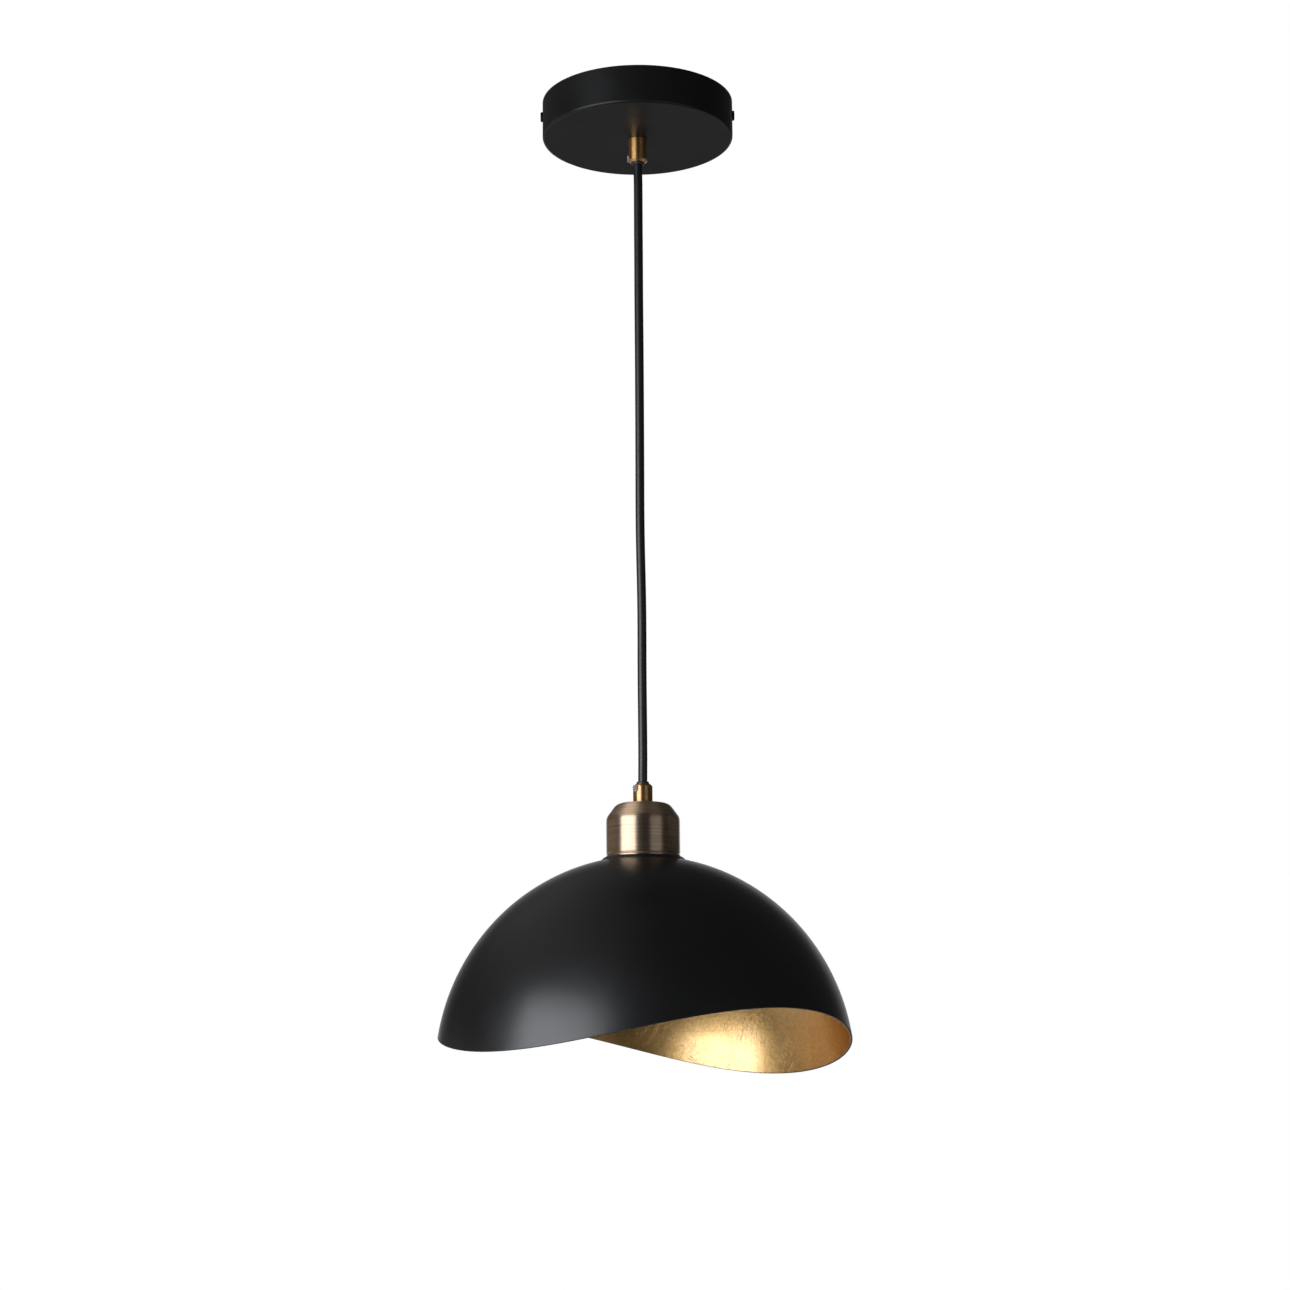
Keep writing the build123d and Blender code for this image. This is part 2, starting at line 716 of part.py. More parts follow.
# Screw shell for the lamp, with a drawn-in neck fixed under the insert
with BuildPart() as screw_shell:
    neck_radius = shell_neck_diameter / 2
    turn(
        (neck_radius, insert_seat),
        (neck_radius + shell_wall, insert_seat),
        (shell_outer_radius, shell_neck_end),
        (shell_outer_radius, shell_mouth),
        (shell_radius, shell_mouth),
        (shell_radius, shell_neck_end),
    )
keep(screw_shell, "screw_shell")

# Rivet block that holds the root of the centre contact under the insert
with BuildPart() as contact_rivet:
    rivet_inner = contact_root + bend_clearance
    rivet_outer = sqrt(neck_radius**2 - (contact_width / 2) ** 2) - hole_clearance
    with BuildSketch(Plane.XY.offset(insert_seat)):
        with Locations((-(rivet_inner + rivet_outer) / 2, 0)):
            Rectangle(rivet_outer - rivet_inner, contact_width)
    extrude(amount=-rivet_height)
keep(contact_rivet, "contact_rivet")

# Centre contact: a bent spring tongue with a flat pad for the lamp's tip
with BuildPart() as centre_contact:
    with BuildSketch(Plane.XZ):
        with BuildLine():
            Polyline(
                (-contact_root, insert_seat - contact_root_drop),
                (-contact_pad_start, insert_seat - contact_drop),
                (contact_pad_end, insert_seat - contact_drop),
                (contact_pad_end + contact_lip, insert_seat - contact_drop + contact_lip),
            )
            offset(amount=contact_thickness, side=Side.LEFT)
        make_face()
    extrude(amount=contact_width / 2, both=True)
keep(centre_contact, "centre_contact")

# Cores inside the lampholder cap
terminal_top = insert_top + lamp_terminal_height
for core_name, side in {"lamp_live_core": 1, "lamp_neutral_core": -1}.items():
    start = core_start(lamp_earth_turn - side * core_spread, lower_sheath_end)
    place = side * lamp_terminal_place
    with BuildPart() as lamp_core:
        run_core(
            start,
            (start[0], start[1], lower_sheath_end - lamp_core_bend_radius),
            (place, 0, terminal_top + lamp_core_bend_radius),
            (place, 0, terminal_top - core_entry),
            radius=lamp_core_bend_radius,
        )
    keep(lamp_core, core_name)

with BuildPart() as lamp_earth_core:
    start = core_start(lamp_earth_turn, lower_sheath_end)
    run_core(
        start,
        (start[0], start[1], earth_entry_height),
        (start[0], earth_terminal_place - hole_clearance, earth_entry_height),
        radius=lamp_core_bend_radius,
    )
keep(lamp_earth_core, "lamp_earth_core")

# Shade ring: a scalloped nut on the skirt that draws the shade up against the cup
with BuildPart() as shade_ring:
    turn(
        (skirt_radius + thread_clearance, ring_top),
        (ring_diameter / 2, ring_top),
        (ring_diameter / 2, ring_top - ring_flange_height),
        (ring_barrel_diameter / 2, ring_top - ring_flange_height),
        (ring_barrel_diameter / 2, ring_top - ring_height),
        (skirt_radius + thread_clearance, ring_top - ring_height),
    )
    scallop_circle = ring_barrel_diameter / 2 + ring_scallop_radius - ring_scallop_depth
    with BuildSketch(Plane.XY.offset(ring_top - ring_flange_height)):
        with PolarLocations(scallop_circle, ring_scallop_count):
            Circle(ring_scallop_radius)
    extrude(amount=-ring_height, mode=Mode.SUBTRACT)
keep(shade_ring, "shade_ring")


def wave_height(forward, sideways):
    """Height of the rim's saddle surface at a place given towards the front and the right."""
    saddle = 2 * wave_amplitude * forward * sideways / shade_radius**2
    towards = radians(wave_tilt_direction)
    tilt = wave_tilt * (forward * cos(towards) + sideways * sin(towards)) / shade_radius
    return equator + wave_mean + saddle + tilt


def wave_plane(forward):
    """An upright plane across the dome, square to the wave's forward direction."""
    ahead = Vector(0, -1, 0).rotate(Axis.Z, wave_turn)
    across = Vector(1, 0, 0).rotate(Axis.Z, wave_turn)
    return Plane(origin=ahead * forward, x_dir=across, z_dir=ahead)


# Everything below the wave: straight rulings between two sloping edges make a saddle surface,
# and where it crosses the dome it leaves a rim with two crests and two dips
with BuildPart() as wave_cutter:
    reach = shade_radius + wave_cut_margin
    corners = [wave_height(forward, side * reach) for forward in (-reach, reach) for side in (-1, 1)]
    wave_cut_bottom = min(corners) - wave_cut_margin
    for forward in (-reach, reach):
        with BuildSketch(wave_plane(forward)):
            with BuildLine():
                Polyline(
                    (-reach, wave_height(forward, -reach)),
                    (reach, wave_height(forward, reach)),
                    (reach, wave_cut_bottom),
                    (-reach, wave_cut_bottom),
                    close=True,
                )
            make_face()
    loft(ruled=True)


def dome_curve(inset, top_radius):
    """Draw the dome's curve, set in from the outside, from below the rim to a top radius."""
    across = shade_radius - inset
    upward = dome_height - inset
    low_angle = degrees(asin(dome_skirt / upward))
    high_angle = degrees(acos(top_radius / across))
    sweep_angle = high_angle - low_angle
    return EllipticalCenterArc((0, equator), across, upward, low_angle, arc_size=sweep_angle)


# Shade: spun sheet with a flat raised land for the cup, its lower edge cut by the wave
with BuildPart() as shade:
    inner_land_radius = land_radius - shade_wall / 2
    inner_foot_radius = foot_radius - shade_wall / 2
    with BuildSketch(Plane.XZ) as shade_profile:
        with BuildLine():
            outside = dome_curve(0, foot_radius)
            inside = dome_curve(shade_wall, inner_foot_radius)
            Polyline(
                outside @ 1,
                (land_radius, cup_bottom),
                (shade_hole_radius, cup_bottom),
                (shade_hole_radius, ring_top),
                (inner_land_radius, ring_top),
                inside @ 1,
            )
            Line(inside @ 0, outside @ 0)
        make_face()
        step = shade_profile.vertices().filter_by_position(Axis.X, inner_land_radius, foot_radius)
        fillet(step, land_rounding)
    revolve(axis=Axis.Z)
    add(wave_cutter.part, mode=Mode.SUBTRACT)
keep(shade, "shade")

# Gold leaf lining: a thin skin inside the dome, cut by the same wave
with BuildPart() as gold_leaf_lining:
    leaf_top_radius = foot_radius + leaf_top_clearance
    with BuildSketch(Plane.XZ):
        with BuildLine():
            outside = dome_curve(shade_wall + leaf_gap, leaf_top_radius)
            inside = dome_curve(shade_wall + leaf_gap + leaf_thickness, leaf_top_radius)
            Line(outside @ 1, inside @ 1)
            Line(inside @ 0, outside @ 0)
        make_face()
    revolve(axis=Axis.Z)
    add(wave_cutter.part, mode=Mode.SUBTRACT)
keep(gold_leaf_lining, "gold_leaf_lining")
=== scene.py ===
# %% [markdown]
# # A pendant ceiling light with a wave-cut dome
#
# This lesson dresses a pendant light that was first drawn as solids. A black canopy holds a
# straight black flex between two brass cord grips, and a bronze cup carries a black dome lined
# with gold leaf. The solids come in as a fixed frame: they stay where they are, and everything
# made here sits in the same place, in metres.

import math

import bmesh
import bpy
from mathutils import Matrix, Vector


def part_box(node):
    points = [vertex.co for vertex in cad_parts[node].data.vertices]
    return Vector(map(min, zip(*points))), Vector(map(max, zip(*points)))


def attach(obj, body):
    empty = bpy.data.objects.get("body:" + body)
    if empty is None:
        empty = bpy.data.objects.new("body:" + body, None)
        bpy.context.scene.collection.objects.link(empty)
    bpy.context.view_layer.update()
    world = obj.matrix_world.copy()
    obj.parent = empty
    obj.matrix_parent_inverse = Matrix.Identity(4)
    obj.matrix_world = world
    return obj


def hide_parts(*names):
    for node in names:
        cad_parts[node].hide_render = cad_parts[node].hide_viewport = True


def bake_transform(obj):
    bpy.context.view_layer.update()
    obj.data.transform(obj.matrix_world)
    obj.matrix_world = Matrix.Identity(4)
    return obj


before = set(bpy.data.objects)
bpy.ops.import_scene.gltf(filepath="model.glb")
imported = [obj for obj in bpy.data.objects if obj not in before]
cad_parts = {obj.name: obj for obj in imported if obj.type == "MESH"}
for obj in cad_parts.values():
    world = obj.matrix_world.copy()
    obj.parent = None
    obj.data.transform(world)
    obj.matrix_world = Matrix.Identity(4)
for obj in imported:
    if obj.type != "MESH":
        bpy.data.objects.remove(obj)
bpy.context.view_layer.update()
scene = bpy.context.scene

# %% [markdown]
# ## The camera
#
# A lamp like this is usually photographed from a little below, so that the inside of the shade
# shows. The camera stands 1.8 m in front of the flex, level with a point just under the rim, and
# is tipped up by about eleven degrees. A longer lens than usual keeps the canopy and the dome in
# their true proportions. The tiny turn and roll are those of a hand-set tripod.

# %% Set the camera
camera_place = (0.0, -1.807, -0.7698)
tip_up, turn_right, roll = (math.radians(angle) for angle in (10.82, 0.078, -0.47))

camera = bpy.data.objects.new("camera", bpy.data.cameras.new("camera"))
scene.collection.objects.link(camera)
camera.data.sensor_width = 36.0
camera.data.lens = 69.49
camera.matrix_world = (
    Matrix.Translation(camera_place)
    @ Matrix.Rotation(-turn_right, 4, "Z")
    @ Matrix.Rotation(math.pi / 2 + tip_up, 4, "X")
    @ Matrix.Rotation(roll, 4, "Z")
)
scene.camera = camera
scene.view_settings.view_transform = "Standard"
print("camera at", camera_place, "lens", camera.data.lens)

# %% [markdown]
# ## Two small helpers for node trees
#
# Every finish below is a tree of nodes. One function adds a node, sets its properties, and fills
# its inputs with numbers or with the outputs of other nodes. Colours are written as sRGB hex
# values, as a paint chart gives them, and shaders work with linear light, so a second function
# turns one into the other.

# %% Helpers for node trees
def linear(hex_colour):
    """Turn an sRGB hex value into the linear colour that shaders work in."""
    channels = [int(hex_colour[i : i + 2], 16) / 255 for i in (1, 3, 5)]
    light = [c / 12.92 if c <= 0.04045 else ((c + 0.055) / 1.055) ** 2.4 for c in channels]
    return (*light, 1.0)


def add(tree, kind, inputs=None, **settings):
    """Add a node, set its properties, and fill its inputs with values or other nodes' outputs."""
    node = tree.nodes.new("ShaderNode" + kind)
    for name, value in settings.items():
        setattr(node, name, value)
    for name, value in (inputs or {}).items():
        if isinstance(value, bpy.types.NodeSocket):
            tree.links.new(value, node.inputs[name])
        else:
            node.inputs[name].default_value = value
    return node


print("mid grey as linear light:", [round(c, 3) for c in linear("#808080")])

# %% [markdown]
# ## The studio
#
# The picture has a plain white ground, and the world gives it: whatever looks straight into the
# world sees white. Metal and paint show more of a room than that, so for them the world is drawn
# by direction. A white backdrop stands behind the lamp, a cream wall low on the left, and a soft
# glow hangs up on the left, where the light strikes the ceiling. The rest is as dark as a studio
# is, and that dark is what keeps black paint black. Each patch is a mask made from the direction
# of a ray, which is one inside the patch and fades to nothing at its edge.

# %% Patches in the world
world = bpy.data.worlds.new("white_studio")
scene.world = world
world.use_nodes = True
tree = world.node_tree
direction = add(tree, "TexCoord").outputs["Generated"]
rightward, _, upward = add(tree, "SeparateXYZ", {0: direction}).outputs


def towards(way):
    """How nearly a ray runs along a way: one straight along it, nothing square to it."""
    return add(tree, "VectorMath", {0: direction, 1: way}, operation="DOT_PRODUCT").outputs["Value"]


def patch(*limits):
    """A mask that is one where every measure of the direction has passed its range."""
    mask = 1.0
    for measure, outside, inside in limits:
        part = add(tree, "MapRange", {"Value": measure, "From Min": outside, "From Max": inside})
        mask = add(tree, "Math", {0: mask, 1: part.outputs[0]}, operation="MULTIPLY").outputs[0]
    return mask


glow = patch((upward, 0.35, 0.7), (rightward, 0.05, -0.5))
wall = patch((upward, 0.1, 0.0), (towards((-0.866, 0.5, 0.0)), 0.77, 0.94))
backdrop = patch((upward, -0.16, -0.05), (towards((0.03, 0.9995, 0.0)), 0.87, 0.98))
print("nodes that draw the patches:", len(tree.nodes))

# %% [markdown]
# The patches are laid over the dark one after the other, each with its own level. Rays that light
# the object softly, rather than mirror the room, get one even level from all round.

# %% Levels in the world
room_level, dark_level, glow_level, wall_level, white_level = 0.22, 0.05, 0.3, 0.55, 1.0
white, cream = linear("#ffffff"), linear("#ffe8cd")
ray = add(tree, "LightPath").outputs
mirrors = {0: ray["Is Glossy Ray"], 1: ray["Is Transmission Ray"]}
mirrored = add(tree, "Math", mirrors, operation="MAXIMUM")
level = dark_level
for mask, patch_level in ((glow, glow_level), (wall, wall_level), (backdrop, white_level)):
    level = add(tree, "Mix", {0: mask, 2: level, 3: patch_level}).outputs[0]
level = add(tree, "Mix", {0: mirrored.outputs[0], 2: room_level, 3: level}).outputs[0]
level = add(tree, "Mix", {0: ray["Is Camera Ray"], 2: level, 3: white_level}).outputs[0]
tint = add(tree, "Mix", {0: wall, 6: white, 7: cream}, data_type="RGBA")
tint = add(tree, "Mix", {0: ray["Is Camera Ray"], 6: tint.outputs[2], 7: white}, data_type="RGBA")
ground = tree.nodes["Background"]
tree.links.new(tint.outputs[2], ground.inputs["Color"])
tree.links.new(level, ground.inputs["Strength"])
print("levels: room", room_level, "dark", dark_level, "glow", glow_level, "wall", wall_level)

# %% [markdown]
# ## The paper floor
#
# White paper, with faint clouds a few millimetres across, is laid below the lamp and behind it. It
# takes the lamp's soft shadow, and throws a little light up under the canopy. Paper that is only
# lit would look grey beside the white ground, so it also glows: to the camera as much as makes it
# white where no shadow falls, and in a mirror less.

# %% Lay the paper floor
floor_height, camera_lift, mirror_lift = -1.75, 0.8, 0.3
corners = [(x, y, floor_height) for x, y in ((-3.0, 0.0), (3.0, 0.0), (3.0, 3.0), (-3.0, 3.0))]
floor = bpy.data.objects.new("floor", bpy.data.meshes.new("floor"))
floor.data.from_pydata(corners, [], [(0, 1, 2, 3)])
scene.collection.objects.link(floor)
paper = bpy.data.materials.new("white_studio_paper")
paper.use_nodes = True
tree = paper.node_tree
place = add(tree, "TexCoord").outputs["Object"]
grain = add(tree, "TexNoise", {"Vector": place, "Scale": 1000 / 6, "Detail": 4.0})
shades = {6: linear("#f4f4f2"), 7: linear("#fbfbfa")}
tone = add(tree, "Mix", {0: grain.outputs["Fac"], **shades}, data_type="RGBA")
lit = add(tree, "BsdfDiffuse", {"Color": tone.outputs[2]})
ray = add(tree, "LightPath").outputs
mirrors = {0: ray["Is Glossy Ray"], 1: ray["Is Transmission Ray"]}
mirrored = add(tree, "Math", mirrors, operation="MAXIMUM")
lift = add(tree, "Math", {0: mirrored.outputs[0], 1: mirror_lift}, operation="MULTIPLY")
lift = add(tree, "Mix", {0: ray["Is Camera Ray"], 2: lift.outputs[0], 3: camera_lift})
glowing = add(tree, "Emission", {"Color": white, "Strength": lift.outputs[0]})
both = add(tree, "AddShader", {0: lit.outputs[0], 1: glowing.outputs[0]})
tree.links.new(both.outputs[0], tree.nodes["Material Output"].inputs["Surface"])
floor.data.materials.append(paper)
print("paper floor at", floor_height, "m, lifted by", camera_lift, "and in mirrors by", mirror_lift)

# %% [markdown]
# ## The softboxes
#
# The bronze cup is a round mirror, so it tells where the lights stood. Its hard-edged white band
# runs from twelve to thirty-six degrees left of its front, and a mirror turns a ray by twice the
# angle, so a large softbox stood twenty-four to seventy-two degrees to the left. The bright lower
# edge of the canopy and the glow low on the dome say that it reached below the lamp. The browner
# sheen on the cup's right comes from a smaller, weaker panel, low on the right.

# %% Hang the softboxes
lamp_middle = Vector((0.0, 0.0, -0.58))
softbox_colour = linear("#f5f9ff")[:3]


def hang_softbox(name, left_angle, up_angle, distance, width, height, brightness):
    """Hang a softbox at an angle to the left of the camera, facing the lamp, evenly bright."""
    left, up = math.radians(left_angle), math.radians(up_angle)
    away = Vector((-math.sin(left) * math.cos(up), -math.cos(left) * math.cos(up), math.sin(up)))
    light = bpy.data.lights.new(name, "AREA")
    light.shape = "RECTANGLE"
    light.size, light.size_y = width, height
    light.color = softbox_colour
    light.energy = brightness * math.pi * width * height
    softbox = bpy.data.objects.new(name, light)
    softbox.location = lamp_middle + away * distance
    softbox.rotation_mode = "QUATERNION"
    softbox.rotation_quaternion = (-away).to_track_quat("-Z", "Y")
    scene.collection.objects.link(softbox)
    print(name, "at", [round(c, 2) for c in softbox.location], "power", round(light.energy, 1), "W")


hang_softbox(
    "key_softbox", left_angle=48, up_angle=1.5, distance=1.6, width=1.46, height=1.5, brightness=5.6
)
hang_softbox(
    "right_panel", left_angle=-41, up_angle=-6, distance=1.8, width=1.2, height=0.5, brightness=1.8
)

# %% [markdown]
# ## Meshes from rings
#
# The flex, the screws and the threads are all round, so each can be drawn as a row of rings with
# the gaps filled by four-sided faces. One function does that for all of them. After a piece is
# drawn, the solid it stands for is hidden and it is given its finish; the shell, the skirt and
# the screws are also set on their bodies.

# %% Helper for round pieces
def draw_rings(name, rings, closed=False, caps=False):
    """Join rows of points, one ring after the other, into a smooth mesh."""
    count = len(rings[0])
    points = [point for ring in rings for point in ring]
    rows = len(rings) if closed else len(rings) - 1
    faces = []
    for row in range(rows):
        here, there = row * count, (row + 1) % len(rings) * count
        for i in range(count):
            j = (i + 1) % count
            faces.append((here + i, here + j, there + j, there + i))
    if caps:
        faces.append(tuple(reversed(range(count))))
        faces.append(tuple(range(len(points) - count, len(points))))
    mesh = bpy.data.meshes.new(name)
    mesh.from_pydata(points, [], faces)
    shell = bmesh.new()
    shell.from_mesh(mesh)
    bmesh.ops.recalc_face_normals(shell, faces=shell.faces)
    shell.to_mesh(mesh)
    shell.free()
    ends = 2 if caps else 0
    mesh.polygons.foreach_set("use_smooth", [True] * (len(faces) - ends) + [False] * ends)
    piece = bpy.data.objects.new(name, mesh)
    scene.collection.objects.link(piece)
    return piece


def circle(radius, middle, along=Vector((0, 0, -1)), count=32):
    """A ring of points about a middle, square to a direction."""
    side = along.cross(Vector((0, 1, 0))).normalized()
    front = side.cross(along).normalized()
    angles = [2 * math.pi * i / count for i in range(count)]
    return [middle + radius * (math.cos(a) * side + math.sin(a) * front) for a in angles]


print("a test ring has", len(circle(1.0, Vector())), "points")

# %% [markdown]
# ## The flex
#
# The flex carries the lamp, so it hangs straight, but not like a rod: its memory of the drum it
# came from leaves a wander of under half a millimetre. A NURBS line through listed points gives
# that wander, and a tube of rings follows the points read back from the line. It is made in two
# lengths, because it bends below the grip in two directions, and the lengths join a little above
# the lower bend. A ring set a hair from each end keeps the shading straight right up to the join
# between the lengths.

# %% Route of the flex
exit_points = [
    (0, 0, -49.2), (0, 0, -53), (0, 0, -58), (0.1, 0, -64), (0.1, 0, -76), (0.05, 0, -85),
    (0.05, 0, -89.6),
]
drop_points = [
    (0.05, 0, -89.6), (0.05, 0, -94), (0, 0, -100), (0, 0, -106), (0, 0, -113), (0, 0, -125),
    (-0.1, 0, -155), (-0.05, 0, -200), (-0.15, 0, -250), (-0.3, 0, -290), (-0.5, 0, -325),
    (-0.3, 0, -352), (0.25, 0, -385), (0.35, 0, -412), (0.1, 0, -445), (0.25, 0, -490),
    (0.2, 0, -512), (0, 0, -522), (0, 0, -526.9),
]


def read_route(points):
    """Draw a NURBS line by its control points in millimetres, and read back the points along it."""
    line = bpy.data.curves.new("route", "CURVE")
    line.dimensions = "3D"
    spline = line.splines.new("NURBS")
    spline.points.add(len(points) - 1)
    for point, place in zip(spline.points, points):
        point.co = (*(c / 1000 for c in place), 1.0)
    spline.order_u = 3
    spline.use_endpoint_u = True
    spline.resolution_u = 10
    holder = bpy.data.objects.new("route", line)
    drawn = bpy.data.meshes.new_from_object(holder)
    return [vertex.co.copy() for vertex in drawn.vertices]


print("control points of the two lengths:", len(exit_points), "and", len(drop_points))

# %% Draw the flex
flex_diameter = 0.0067


def draw_flex(name, points, node):
    """Draw a length of flex along a route, and hide the solid it stands for."""
    path = read_route(points)
    hair = Vector((0, 0, -0.02 / 1000))
    stops = [path[0], path[0] + hair, *path[1:-1], path[-1] - hair, path[-1]]
    rings = []
    for i, middle in enumerate(stops):
        along = (stops[min(i + 1, len(stops) - 1)] - stops[max(i - 1, 0)]).normalized()
        rings.append(circle(flex_diameter / 2, middle, along))
    tube = draw_rings(name, rings, caps=True)
    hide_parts(node)
    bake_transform(tube)
    return tube


flex_exit_tube = draw_flex(
    "flex_exit_tube", exit_points, node="flex_exit",
)
flex_tube = draw_flex(
    "flex_tube", drop_points, node="flex",
)

# %% [markdown]
# ## Turned pieces with threads
#
# The solids have plain cylinders where the real pieces have threads. A thread can be made with a
# screw modifier, or, as here, by turning an outline about an axis and letting the radius dip as
# the height and the angle go round together. The outline's corners are bevelled first, because a
# real edge is never perfectly sharp and it is the bevel that catches the light.

# %% Helpers for turned pieces
def ease(outline, size, step, closed=True):
    """Bevel an outline's corners, then add points so that no run is longer than a step."""
    corners = [Vector(corner) for corner in outline]
    bevelled = []
    for i, corner in enumerate(corners):
        if not closed and i in (0, len(corners) - 1):
            bevelled.append(corner)
            continue
        for other in (corners[i - 1], corners[(i + 1) % len(corners)]):
            away = other - corner
            bevelled.append(corner + away.normalized() * min(size, away.length / 3))
    points = []
    for start, end in zip(bevelled, bevelled[1:] + bevelled[:1] if closed else bevelled[1:]):
        parts = math.ceil((end - start).length / step)
        points += [start.lerp(end, part / parts) for part in range(parts)]
    return points if closed else points + bevelled[-1:]


def spin(name, outline, shape, place=Matrix(), count=72, closed=True):
    """Turn an outline about an axis, with each point's radius and height shaped by its angle."""
    rings = []
    for radius, height in outline:
        angles = [2 * math.pi * i / count for i in range(count)]
        shaped = [(angle, *shape(radius, height, angle)) for angle in angles]
        points = [Vector((r * math.cos(a), r * math.sin(a), h)) for a, r, h in shaped]
        rings.append([place @ (point / 1000) for point in points])
    piece = draw_rings(name, rings, closed=closed, caps=not closed)
    print(name, "has", len(piece.data.polygons), "faces")
    return piece


def thread_dip(height, angle, pitch, depth, low, high):
    """How far a right-hand thread dips at a height and angle, fading out at both ends."""
    fade = max(0.0, min(1.0, (height - low) / pitch, (high - height) / pitch))
    return depth * fade * (0.5 - 0.5 * math.cos(2 * math.pi * height / pitch - angle))


test_square = ease([(0, 0), (1, 0), (1, 1), (0, 1)], size=0.1, step=0.5)
print("a square of 1 mm, bevelled by 0.1 mm, has", len(test_square), "points")

# %% [markdown]
# ## The screw shell
#
# The lamp screws into a shell rolled from thin brass sheet. Its round thread climbs 3.62 mm a
# turn, and the wall is so thin that the thread shows on both of its sides.

# %% Roll the screw shell
shell_outline = ease(
    [
        (10.5, -575.5), (10.9, -575.5), (13.6, -581.0), (13.6, -601.0), (13.2, -601.0),
        (13.2, -581.0),
    ],
    size=0.12, step=0.3,
)


def shape_shell(radius, height, angle):
    """Roll the thread into both sides of the wall."""
    dip = thread_dip(height, angle, pitch=3.62, depth=0.8, low=-600.0, high=-581.5)
    return radius - dip, height


rolled_shell = spin("rolled_shell", shell_outline, shape_shell)
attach(rolled_shell, "lamp")
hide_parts("screw_shell")

# %% [markdown]
# ## The lampholder's skirt
#
# The skirt is moulded with a thread on its outside, where the shade ring screws up against the
# dome. Its crests lie on the solid's surface, so the ring still fits.

# %% Mould the skirt
skirt_outline = ease(
    [
        (16.7, -564.5), (18.95, -564.5), (18.95, -569.5), (21.0, -569.5), (21.0, -572.5),
        (19.8, -572.5), (19.8, -603.5), (14.85, -603.5), (13.65, -602.3), (13.65, -575.5),
        (16.7, -575.5),
    ],
    size=0.25, step=0.3,
)


def shape_skirt(radius, height, angle):
    """Cut the thread into the outside only, below the flange."""
    if radius < 19.5 or height > -573.0:
        return radius, height
    dip = thread_dip(height, angle, pitch=2.4, depth=0.65, low=-602.5, high=-573.5)
    return radius - dip, height


threaded_skirt = spin("threaded_skirt", skirt_outline, shape_skirt, count=96)
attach(threaded_skirt, "lamp")
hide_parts("lampholder_skirt")

# %% [markdown]
# ## The canopy's side screws
#
# Two small pan-head screws hold the canopy to its bracket. Each is one outline from the tip of
# its thread to the middle of its head, turned about an axis that lies sideways. The cross recess
# is pressed into the head by lowering the points that fall inside two crossed bars.

# %% Turn the side screws
screw_outline = ease(
    [
        (0.01, -9.0), (1.5, -9.0), (2.0, -8.5), (2.0, 0.0), (3.8, 0.0), (3.8, 0.9), (3.6, 1.4),
        (3.1, 1.6), (0.01, 1.6),
    ],
    size=0.1, step=0.15, closed=False,
)
bar_length, bar_width, recess_depth = 1.9, 0.45, 0.9


def shape_screw(radius, height, angle):
    """Cut the thread into the shank and press the cross recess into the head."""
    if height < -0.3 and radius > 1.6:
        dip = thread_dip(height, angle, pitch=0.7, depth=0.25, low=-8.6, high=-0.3)
        return radius - dip, height
    if height > 1.5:
        u, v = abs(radius * math.cos(angle)), abs(radius * math.sin(angle))
        bar = min(max(u / bar_length, v / bar_width), max(u / bar_width, v / bar_length))
        return radius, height - recess_depth * max(0.0, min(1.0, (1.2 - bar) / 0.4))
    return radius, height


side_screws = []
for side, sign in (("left", -1), ("right", 1)):
    lying = Matrix.Rotation(sign * math.pi / 2, 4, "Y")
    place = Matrix.Translation((sign * 0.073, 0, -0.010)) @ lying
    screw = spin("side_screw_" + side, screw_outline, shape_screw, place, count=64, closed=False)
    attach(screw, "ceiling_rose")
    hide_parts("canopy_side_screws")
    side_screws.append(screw)

# %% [markdown]
# ## Starting a finish
#
# Each finish begins as a Principled shader whose plain numbers are set on its own sockets. The
# patterns are then added one at a time. They all read the object's own coordinates, which are
# metres in the lamp's frame, so a pattern of so many millimetres has a scale of a thousand
# divided by that size, and stays put when the lamp swings. Noise seldom leaves the middle of its
# range, so where it drives another number that middle is stretched to the whole. Solids that a
# piece above stands for need no finish, so the list of those still to dress leaves them out.

# %% Helpers for finishes
def start_finish(name, colour, roughness, **sockets):
    """Start a finish: a Principled shader with a colour, a roughness and other plain numbers."""
    finish = bpy.data.materials.new(name)
    finish.use_nodes = True
    shader = finish.node_tree.nodes["Principled BSDF"]
    shader.inputs["Base Color"].default_value = linear(colour)
    shader.inputs["Roughness"].default_value = roughness
    for socket, value in sockets.items():
        shader.inputs[socket.replace("_", " ")].default_value = value
    return finish, finish.node_tree, shader


noise_middle = {"From Min": 0.3, "From Max": 0.7}
redrawn = {"flex_exit", "flex", "screw_shell", "lampholder_skirt", "canopy_side_screws"}
undressed = set(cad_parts) - redrawn


def dress(finish, *names):
    """Give the named solids a finish."""
    for name in names:
        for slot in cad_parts[name].material_slots:
            slot.material = finish
    undressed.difference_update(names)
    print(finish.name, "on", ", ".join(names))


print("solids to dress:", len(undressed))

# %% [markdown]
# ## The dome's outside: satin paint on spun steel
#
# The dome is spun from sheet and sprayed with black satin paint. The spray dries with a faint
# orange peel about a millimetre and a half across, a gloss that drifts a little from place to
# place, and the odd speck of dust. Noise at two scales gives the peel and the drift, and a sparse
# cell pattern the specks. Paint also flows round the sheet's edges, which a bevelled normal shows,
# and it dries thin and dull there, so the rim is a dark line. A mask that compares the true normal
# with a rounded one finds the rim. The paint is dark because it reflects little, not because the
# light is low.

